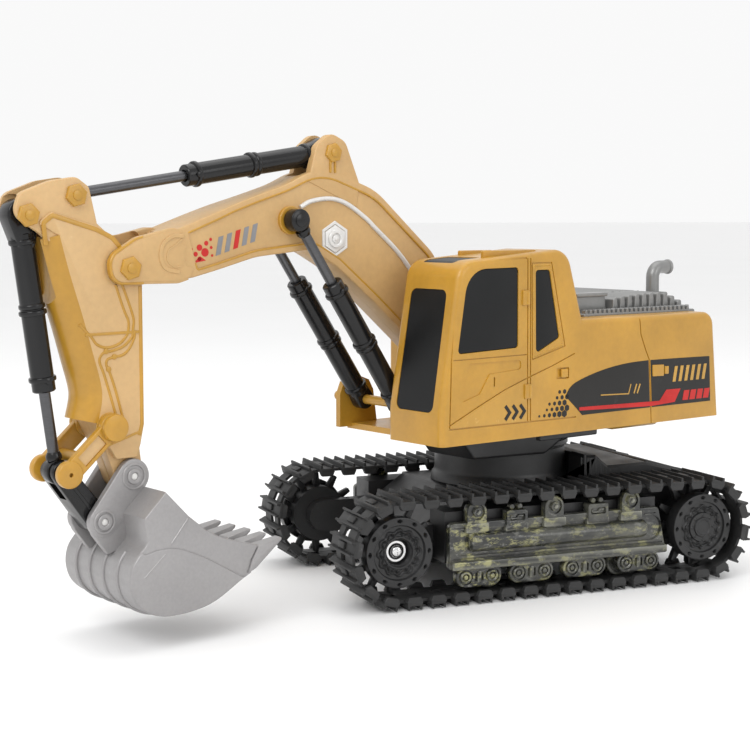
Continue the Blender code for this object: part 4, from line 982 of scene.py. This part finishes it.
def flare(mesh, side):
    """Widen the boom smoothly towards its fork, where the cheeks embrace the stick."""
    start, end, reach = -130.0, -160.0, 3.1
    for k in range(9):
        y = start + (end - start) * k / 8
        bmesh.ops.bisect_plane(mesh, geom=mesh.verts[:] + mesh.edges[:] + mesh.faces[:], plane_co=(0, y, 0),
                               plane_no=(0, 1, 0), dist=0.0001)
    for vert in mesh.verts:
        if abs(vert.co.x) > 5:
            share = min(1.0, max(0.0, (start - vert.co.y) / (start - end)))
            vert.co.x += side * reach * share * share * (3 - 2 * share)
    bmesh.ops.triangulate(mesh, faces=mesh.faces)
    return mesh


def boom_moulding(label, side):
    """One half of the boom: a side with a sunk panel, the cheek of its fork, and the lug on its back."""
    at = out_from_middle(side)
    lug = rounded((-110, 170), (-106, 184, 4), (-99, 189.5, 5), (-91.5, 186, 5), (-84.5, 169.5, 2),
                  (-86, 160))
    body = one_sided(rounded(*BOOM_OUTLINE, arc=5), at(0.06), at(BOOM_X), 0.8)
    shape = flare(carved(body, cut(BOOM_FACE, at(6.9), at(BOOM_X + 3))), side)
    half = carved(shape,
                  ("+", one_sided(capsule(BOOM_ROOT, (-40, 108), 9.5), at(0.1), at(7.35), 0.5)),
                  ("+", one_sided(lug, at(4.2), at(7.45), 0.6)),
                  cut(capsule(STICK_RAM_BASE, (-118, 179), 7.4), at(-0.5), at(4.1)),
                  add(BOOM_CHEEK, at(5.0), at(FORK_X1 - 0.35), 0.6),
                  cut(circle(STICK_PIVOT, 17.5, 64), at(-1), at(FORK_X0)))
    piece("boom_moulding_" + label, half, "boom", TAN_DEEP, replaces=("boom_" + label,),
          angle=28)


def boom_beads(label, side):
    """The amber borders of the panel and the fork's tip, the rams' stubs and two bars on the lug."""
    at = out_from_middle(side)
    parts = [ring(BOOM_RAM_TOP, at(6.5), at(8.6), 5.5, 2.0, 40),
             pin(BOOM_RAM_TOP, at(6), at(12.6), 1.5, 24), hex_head(STICK_RAM_BASE, 7.3, 8.7, 4.0, side)]
    for y in (-99.4, -97.1):
        parts.append(block(at(7.2), at(8.0), y - 0.45, y + 0.45, 173.6, 178.6, 0.25))
    bead = flare(hoop(inset(BOOM_FACE, -0.55), 0.9, at(6.9), at(BOOM_X + 0.12), 0.2), side)
    gap = rounded((-176, 138.4), (-160.5, 139.6), (-160.5, 151.0), (-176, 149.6))
    parts.append(carved(bead, cut(gap, at(5), at(12))))
    parts.append(carved(hoop(inset(BOOM_CHEEK, -0.12), 1.1, at(8.55), at(10.75), 0.3),
                        cut(oblong(-186.5, -150, 120, 165), at(5), at(12))))
    piece("boom_beads_" + label, parts, "boom", AMBER, angle=28)


def boom_panel(label, side):
    """The panel's floor, and the plate with two curved lines on the fork's cheek."""
    at = out_from_middle(side)
    panel = carved(flare(one_sided(inset(BOOM_FACE, 0.12), at(6.6), at(7.05), 0.12), side),
                   cut(circle(STICK_PIVOT, 17.6, 64), at(5), at(9)))
    tip = rounded((-170.4, 151.2), (-174.0, 151.5, 6), (-188.7, 148.0, 7), (-199.6, 141.8, 5.2),
                  (-198.5, 133.1, 4.6), (-171.6, 132.9, 8), (-166.8, 134.3), (-165.2, 137.4),
                  (-168.4, 138.4), (-169.4, 141.4), (-168.4, 145.6), (-170.4, 146.4), arc=6)
    tip = one_sided(tip, at(10.3), at(10.85), 0.15)
    crescent = smooth_path(((-169.6, 149.4), (-174.6, 149.2), (-178.4, 146.2), (-179.3, 141.6),
                            (-177.2, 137.6), (-171.4, 136.2)), 5)
    gear = smooth_path(((-170.2, 148.2), (-173.4, 145.9), (-176.0, 144.2), (-176.6, 140.6), (-173.8, 138.2),
                        (-170.2, 138.4)), 3)
    lines = [slab(ribbon(crescent, 1.5), at(10.7), at(11.25), 0.15, 1),
             slab(ribbon(gear, 0.5), at(10.7), at(11.05))]
    piece("boom_panel_" + label, [panel, tip, *lines], "boom", TAN_DEEP)


def boom_pipe(label, side):
    """A pale pipe along the panel, and a hexagonal nut on its plate under it."""
    at = out_from_middle(side)
    route = smooth_path(((-114.1, 160), (-108.9, 162.4), (-99.5, 163.5), (-91.2, 161.5), (-81.6, 155.8),
                         (-76.9, 152), (-67, 144), (-60, 137), (-52, 127)), 6)
    pipe = tube([(at(7.4), *p) for p in route], 0.95, 14)
    middle = (-97, 147.6)
    plate = hoop(circle(middle, 7.2, 6, 0.5), 1.2, at(6.9), at(7.5), 0.2)
    nut = [one_sided(circle(middle, 5.6, 6, 0.5), at(6.9), at(7.7), 0.3),
           ring(middle, at(7.4), at(8.4), 3.6, 2.2, 32), hex_head(middle, 7.4, 8.2, 1.9, side)]
    piece("boom_pipe_" + label, [pipe, plate, *nut], "boom", PALE)


def boom_print(label, side):
    """Generic prints: a patch of red dots and five slanted bars."""
    at = out_from_middle(side)
    shapes = {"red": [], "grey": []}
    for y, z, r in ((-162.5, 143.2, 0.9), (-160.8, 145.6, 1.2), (-158.4, 143.8, 1.6), (-160.9, 141.4, 0.8),
                    (-157.8, 147.2, 0.9), (-155.6, 145.6, 0.6), (-155.8, 148.6, 0.6), (-155.2, 142.6, 0.5),
                    (-164.2, 145.0, 0.5)):
        shapes["red"].append(circle((y, z), r, 20))
    shapes["red"].append(rounded((-163.6, 139.9), (-158.0, 140.8), (-160.6, 142.4)))
    for k in range(5):
        y, z = -153.6 + 4.3 * k, 142.4 + 1.15 * k
        bar = rounded((y, z), (y + 2.4, z + 0.6), (y + 3.9, z + 7.6), (y + 1.5, z + 7.0))
        shapes["red" if k == 2 else "grey"].append(bar)
    for tone, ink in (("red", INK_RED), ("grey", INK_GREY)):
        made = merged(*[slab([p + Vector((-1.5, -0.6)) for p in line], at(6.95), at(7.16))
                        for line in shapes[tone]])
        piece(f"boom_print_{tone}_{label}", flare(made, side), "boom", ink)


def boom_half(label, side):
    for make in (boom_moulding, boom_beads, boom_panel, boom_pipe, boom_print):
        make(label, side)


def stick_half(label, side):
    """One half of the stick: a flat side with raised lines, and a rounded amber nose along its front."""
    at = out_from_middle(side)
    nose = smooth_path(((-218.8, 150.0), (-215.3, 137.0), (-210.0, 120.0), (-206.6, 108.0), (-203.6, 97.0),
                        (-203.2, 90.5), (-205.0, 82.6)), 6)
    outline = rounded((-226.1, 154.8, 1.5), (-221.3, 158.2, 1.5), (-204.2, 153.3, 5), (-198.3, 150.4, 5),
                      (-190.4, 143.2, 6), (-185.4, 132.5, 8), (-185.4, 80.8, 4), (-187.0, 73.5, 3),
                      (-188.6, 68.8, 1), (-197, 68.8, 1), (-203.0, 78.5, 1), arc=6) + nose[::-1]
    ear = rounded((-235.5, 157, 5), (-233, 164.5, 5), (-221, 169, 12), (-211, 170.5, 4), (-206, 167, 3),
                  (-203, 154), (-197, 149), (-220, 146), (-226, 151), arc=6)

    def slots():
        """Room for the stick ram's eye and for the bucket ram's barrel."""
        return [cut(capsule(STICK_RAM_TOP, (-195, 167), 7.0), at(-0.5), at(4.2)),
                cut(capsule(BUCKET_RAM_BASE, (-226, 130), 7.4), at(-0.5), at(5.2))]

    half = carved(one_sided(outline, at(0.06), at(STICK_X - 0.1), 0.5, 4),
                  ("+", one_sided(ear, at(4.3), at(STICK_X - 0.8), 0.6)),
                  add(capsule((-193.5, 74), BUCKET_PIVOT, 7.0, 5.6), at(0.15), at(5.4), 0.3), *slots())
    piece("stick_side_" + label, half, "stick", TAN, replaces=("stick_" + label,), angle=28)
    beam = carved(tube([(0, *p) for p in nose], STICK_X - 0.08, 48),
                  cut(circle((-205, 115), 70, 24), at(-12), at(0.06)), *slots())
    parts = [beam, pin(ROCKER_PIVOT, at(7), at(8.25), 5.2, 40, 0.3)]
    for centre in (STICK_RAM_TOP, BUCKET_RAM_BASE):
        parts.append(hex_head(centre, 7.0, 8.8, 4.2, side))
        if side > 0:
            parts.append(pin(centre, -8, 8, 1.5, 24))
    ridge = rounded((-223.7, 146.5), (-224.5, 154.3, 1.5), (-221.0, 156.9, 1.5), (-203.9, 151.9, 6),
                    (-197.6, 149.0, 6), (-191.4, 142.2, 5), (-188.6, 137.0), arc=15)
    for line, width, top in ((ridge, 1.7, 8.15),
                             (((-186.4, 131.5), (-186.4, 81.0), (-187.7, 76.8)), 1.5, 8.12),
                             (((-209.0, 114.55), (-187.0, 114.75)), 1.1, 8.2),
                             (((-200.6, 74.2), (-187.2, 78.2)), 1.0, 8.15)):
        parts.append(slab(ribbon(line, width), at(7.5), at(top), 0.25, 2))
    piece("stick_moulding_" + label, parts, "stick", AMBER, angle=28)
    hoses = [((-196.5, 132.1), (-193.4, 123.3), (-191.5, 118.9), (-191.6, 115.5), (-192.7, 113.1),
              (-195.8, 110.6), (-200.7, 109.6), (-204.5, 111.0), (-206.3, 113.3), (-208.2, 115.3),
              (-211.2, 118.4)),
             ((-193.8, 132.0), (-190.6, 123.7), (-189.3, 119.3), (-189.6, 115.9), (-190.2, 113.0),
              (-193.6, 109.8), (-198.6, 108.3), (-200.8, 108.2), (-202.9, 106.9), (-203.5, 104.5),
              (-201.5, 99.1), (-197.1, 84.7)),
             ((-189.2, 115.5), (-189.1, 113.0), (-191.4, 108.7), (-194.2, 106.6), (-197.5, 106.1),
              (-200.3, 105.3), (-200.8, 103.4), (-199.8, 101.4), (-197.2, 93.9), (-193.6, 80.9))]
    lines = [tube([(at(7.65), *p) for p in smooth_path(hose, 5)], 0.6, 12) for hose in hoses]
    for y, z in ((-200.8, 108.3), (-197.5, 106.2), (-199.9, 101.8)):
        lines.append(pin((y, z), at(7.5), at(8.3), 1.05, 18, 0.25))
    piece("stick_hoses_" + label, lines, "stick", AMBER)


def arm_pins():
    both = [hex_head(STICK_PIVOT, 10.6, 12.0, 4.4, side) for side in (1, -1)]
    both.append(pin(STICK_PIVOT, -11, 11, 2.5, 32))
    piece("stick_pin_heads", both, "boom", AMBER, replaces=("stick_pin",))
    piece("bucket_pin_sleeve", pin(BUCKET_PIVOT, -9.2, 9.2, 1.3, 32), "stick", PALE,
          replaces=("bucket_pin",))


def toward(a, b, distance):
    """The point at a distance from a towards b."""
    return a + (b - a).normalized() * distance


def barrel(name, body, x, base, top, start, end, half=3.6, eye_r=BARREL_R):
    """A toy ram's cylinder: turned body with four collars, forked eye at its foot, and a pipe tap."""
    direction = (0, *(top - base))
    r = BARREL_R
    profile = [(2.35, start), (r - 0.6, start), (r, start + 0.7)]
    for share in (0.06, 0.46, 0.50, 0.92):
        level = start + share * (end - start)
        wide = r + (0.75 if share != 0.46 else 0.5)
        profile += [(r, level - 1.0), (wide - 0.2, level - 0.8), (wide, level - 0.4), (wide, level + 0.4),
                    (wide - 0.2, level + 0.8), (r, level + 1.0)]
    profile += [(r, end - 0.4), (r - 0.4, end), (2.35, end)]
    fork = slab(capsule(base, toward(base, top, start + 3), eye_r, r - 0.6), x - half, x + half, 0.7)
    eye = carved(fork, cut(circle(base, 2.15, 24), x - 9, x + 9),
                 cut(capsule(toward(base, top, start + 1), toward(base, top, start + 12), 2.4), x - 2.4,
                     x + 2.4))
    tap = pin(toward(base, top, end - 4), x + 3.4, x + 5.0, 1.1, 16)
    made = merged(aim(lathe(profile, 36), (x, *base), direction), eye, tap)
    piece(name + "_shown", made, body, GLOSS, replaces=(name,))


def shaft(name, body, x, base, top, start, eye_r, bore, half=3.6, cap=0):
    """A toy ram's rod with its eye; cap gives the side (1 or -1) on which a lid closes the eye."""
    length = (top - base).length
    bar = tube([(x, *toward(base, top, start)), (x, *toward(base, top, length - eye_r + 0.8))], 2.05, 28)
    eye = carved(slab(circle(top, eye_r, 40), x - half, x + half, 0.5),
                 cut(circle(top, bore, 32), x - 9, x + 9))
    neck = aim(lathe([(0, 0), (2.3, 0), (3.0, 1.4), (3.0, 2.6), (0, 2.6)], 32),
               (x, *toward(base, top, length - eye_r - 2.6)), (0, *(top - base)))
    if cap:
        lid = [pin(top, x + cap * 1.6, x + cap * (half + 0.1), eye_r - 0.25, 40, 0.4),
               pin(top, x + cap * (half - 0.1), x + cap * (half + 0.5), eye_r * 0.6, 32, 0.2)]
        eye = merged(eye, *lid)
    piece(name + "_bar", bar, body, ROD, replaces=(name,))
    piece(name + "_eye", merged(eye, neck), body, GLOSS)


def rams():
    for label, side in SIDES:
        barrel("boom_ram_barrel_" + label, "boom_ram_body", side * 12, BOOM_RAM_BASE, BOOM_RAM_TOP, 3.0, 61,
               2.8)
        shaft("boom_ram_rod_" + label, "boom_rod_body", side * 12, BOOM_RAM_BASE, BOOM_RAM_TOP, 18, 4.4,
              3.2, 2.9, side)
    barrel("stick_ram_barrel", "stick_ram_body", 0, STICK_RAM_BASE, STICK_RAM_TOP, 5.0, 65, eye_r=6.2)
    shaft("stick_ram_rod", "stick_rod_body", 0, STICK_RAM_BASE, STICK_RAM_TOP, 25, 5.2, 3.6)
    barrel("bucket_ram_barrel", "bucket_ram_body", 0, BUCKET_RAM_BASE, ROCKER_END, 6.0, 63, half=3.9,
           eye_r=5.8)
    shaft("bucket_ram_rod", "bucket_rod_body", 0, BUCKET_RAM_BASE, ROCKER_END, 39.5, 4.6, 3.3, 2.2)


def linkage():
    """The pair of rocker arms with their cross bar, and the tie bar to the bucket."""
    arms, webs = [], []
    bar = [toward(ROCKER_PIVOT, ROCKER_END, 2), toward(ROCKER_END, ROCKER_PIVOT, 2)]
    hollow = [toward(ROCKER_PIVOT, ROCKER_END, 6.0), toward(ROCKER_END, ROCKER_PIVOT, 6.2)]
    for side in (1, -1):
        arms.append(carved(slab(ribbon(bar, 7.4), side * 8.5, side * 11.2, 0.4),
                           add(circle(ROCKER_PIVOT, 5.0, 48), side * 8.45, side * 11.3, 0.5),
                           add(circle(ROCKER_END, 5.0, 48), side * 8.45, side * 11.6, 0.7),
                           cut(ribbon(hollow, 4.8), side * 10.3, side * 13),
                           cut(circle(ROCKER_PIVOT, 2.15, 24), side * 7, side * 13),
                           cut(circle(ROCKER_END, 0.8, 20), side * 10.2, side * 13)))
        webs.append(slab(ribbon(hollow, 4.7), side * 10.1, side * 10.45, 0.1, 1))
    arms.append(tube([(-9.5, -210.2, 70.0), (9.5, -210.2, 70.0)], 2.35, 28))
    arms.append(pin(ROCKER_END, -9, 9, 1.5, 28))
    piece("rocker_arms", arms, "rocker_body", AMBER, replaces=("rocker_link",))
    piece("rocker_webs", webs, "rocker_body", TAN)
    heads = [pin(ROCKER_PIVOT, side * 11.5, side * 13.6, 5.0, 40, 0.7) for side in (1, -1)]
    piece("rocker_pin_heads", heads, "stick", AMBER)
    tie = carved(slab(capsule(ROCKER_END, LINK_PIVOT, 3.9, 4.6, 18), -5.2, 5.2, 0.7),
                 cut(capsule(ROCKER_END, toward(ROCKER_END, LINK_PIVOT, 5), 6.5), -2.6, 2.6),
                 cut(circle(ROCKER_END, 1.75, 24), -9, 9), cut(circle(LINK_PIVOT, 3.1, 32), -9, 9))
    ribs = [slab(ribbon([toward(ROCKER_END, LINK_PIVOT, 6), toward(LINK_PIVOT, ROCKER_END, 6)], 1.2),
                 side * 5.0, side * 5.6, 0.2, 1) for side in (1, -1)]
    piece("tie_bar", merged(tie, *ribs), "tie_link_body", GLOSS, replaces=("tie_link",))


def bucket():
    """Bent shell with four back ribs, stepped side plates, two ears and five tapered teeth."""
    back = rounded((-186.3, 57.8), (-194.7, 49.6), (-195.2, 48.9), (-195.1, 48.0), (-194.0, 41.0),
                   (-194.2, 40.0))
    back += smooth_path(((-195.2, 38.7), (-198.2, 35.9), (-200.9, 32.0), (-201.9, 26.4), (-200.4, 20.4),
                         (-196.8, 16.1), (-191.5, 13.2), (-185.7, 12.0), (-176, 12.3), (-165.6, 14.8),
                         (-152.2, 22.2)), 4)
    normals = []
    for i in range(len(back)):
        chord = back[min(i + 1, len(back) - 1)] - back[max(i - 1, 0)]
        normals.append(Vector((-chord.y, chord.x)).normalized())
    inner = [p + n * 2.0 for p, n in zip(back, normals)]
    mouth = rounded((-150.4, 25.0), (-149.7, 27.6), (-146.6, 32.8), (-146.9, 33.6), (-157.5, 36.6),
                    (-163.5, 38.7), (-168.9, 41.6), (-176.7, 47.9))
    cheek = inset(back + mouth, 0.05)
    ear_root = rounded((-208.6, 43.6, 3), (-201.6, 34.2, 1), (-193.2, 37.5), (-192.6, 48), (-186.5, 56),
                       (-190, 63))
    steps = []
    for side in (1, -1):
        steps += [add(cheek, side * 22.0, side * 24.0, 0.5),
                  add(capsule(LINK_PIVOT, BUCKET_PIVOT, 6.0, 6.4, 20), side * 5.8, side * 8.7, 0.5),
                  add(ear_root, side * 5.85, side * 8.55, 0.3)]
    blade = rounded((-156.5, 19.6), (-149.6, 22.9, 0.6), (-147.3, 27.3, 0.6), (-150.2, 27.8, 0.6),
                    (-157.5, 22.6))
    steps.append(add(blade, -23.7, 23.7, 0.4))
    steps += [cut(circle(BUCKET_PIVOT, 2.2, 32), -12, 12), cut(circle(LINK_PIVOT, 0.9, 24), -12, 12)]
    parts = [carved(slab(back + inner[::-1], -23.6, 23.6, 0.3, 2), *steps)]
    tooth = rounded((-151.2, 23.2), (-147.6, 24.6, 0.8), (-135.0, 33.6, 0.5), (-134.7, 34.9, 0.5),
                    (-146.2, 32.9, 0.8), (-149.6, 27.6), arc=30)
    for k in range(5):
        made = slab(tooth, -3.7, 3.7, 0.5, 2)
        for vertex in made.verts:
            vertex.co.x *= 1.0 - 0.42 * min(1.0, max(0.0, (vertex.co.y + 149) / 14))
        parts.append(moved(made, (k - 2) * 10.5))
    bulge_line = smooth_path(((-154.2, 22.6), (-161.5, 27.0), (-169.8, 31.7), (-179.0, 35.9),
                              (-184.6, 37.2), (-190.8, 37.1), (-194.6, 36.3), (-196.6, 37.0)), 4)
    bulge = [p for p in back if p.y < 37.0] + bulge_line
    for side in (1, -1):
        parts.append(slab(inset(bulge, 0.12), side * 23.4, side * 24.7, 0.6))
        parts.append(slab(ribbon(((-177.2, 47.2), (-184.4, 38.6)), 0.6), side * 23.7, side * 24.25, 0.2, 1))
        parts.append(slab(ribbon(((-187.2, 35.4), (-196.2, 27.6)), 0.5), side * 24.4, side * 24.85, 0.15,
                          1))
        for centre, wide in ((BUCKET_PIVOT, 5.0), (LINK_PIVOT, 4.5)):
            parts.append(ring(centre, side * 8.4, side * 9.15, wide, wide - 1.0, 40))
            parts.append(ring(centre, side * 8.4, side * 9.5, 2.9, 1.35, 40))
    spine = [p - n * 0.1 for p, n in list(zip(back, normals))[10:40]]
    for x in (-15.3, -5.1, 5.1, 15.3):
        parts.append(tube([(x, *p) for p in spine], 0.8, 12))
    parts.append(ring(LINK_PIVOT, -6.5, 6.5, 1.6, 0.9, 28))
    piece("bucket_moulding", parts, "bucket_body", GREY, replaces=("bucket",), angle=30)
    sleeve = [pin(LINK_PIVOT, side * 6.2, side * 9.1, 1.3, 28) for side in (1, -1)]
    piece("link_pin_ends", sleeve, "bucket_body", PALE)


# ---- stage, lights and camera -----------------------------------------------------------------
CAMERA_AT, CAMERA_AIM = (0.62784, -0.25304, 0.1569), (-0.00315, 0.00448, 0.08897)
LENS_MM, FILM_MM = 76.88, 36.0
PAPER, SKY = 0.92, 0.95
LIGHTS = (("key", (0.75, -0.75, 0.95), (0, 0, 0.08), (0.7, 0.7), 6.5),
          ("side", (1.1, 0.7, 0.55), (0, 0, 0.09), (0.6, 0.5), 2),
          ("top", (-0.1, 0.1, 1.1), (0, 0, 0.08), (1.0, 1.0), 3.5))


def facing(made, at, target):
    """Put a lamp or a camera at a place, looking at a target."""
    made.location = at
    made.rotation_euler = (Vector(target) - Vector(at)).to_track_quat("-Z", "Y").to_euler()


def floor():
    """A wide sheet of paper, just under the tracks."""
    mesh = bmesh.new()
    bmesh.ops.create_grid(mesh, x_segments=1, y_segments=1, size=30.0)
    sheet = mesh_object("studio_floor", mesh)
    sheet.location.z = -0.0002
    shader = Shader("paper")
    tone = shader.ramp(shader.noise(3), (0.3, PAPER * 0.985), (0.7, PAPER))
    sheet.data.materials.append(shader.set(Base_Color=tone, Roughness=0.6))


def lights():
    world = bpy.data.worlds.new("studio")
    world.use_nodes = True
    sky = world.node_tree.nodes["Background"].inputs
    sky["Color"].default_value = (1, 1, 1, 1)
    sky["Strength"].default_value = SKY
    bpy.context.scene.world = world
    bpy.context.scene.view_settings.view_transform = "Standard"
    for name, at, target, size, power in LIGHTS:
        light = bpy.data.lights.new(name, "AREA")
        light.shape, light.size, light.size_y = "RECTANGLE", *size
        light.energy = power
        facing(linked(name, light), at, target)


def camera():
    data = bpy.data.cameras.new("view")
    data.lens, data.sensor_width = LENS_MM, FILM_MM
    data.clip_start, data.clip_end = 0.01, 80
    made = linked("view", data)
    bpy.context.scene.camera = made
    facing(made, CAMERA_AT, CAMERA_AIM)


undercarriage()
house_shell()
windows()
side_prints()
latch_and_sill()
engine_top()
exhaust()
apron()
for label, side in SIDES:
    boom_half(label, side)
    stick_half(label, side)
arm_pins()
rams()
linkage()
bucket()
floor()
lights()
camera()
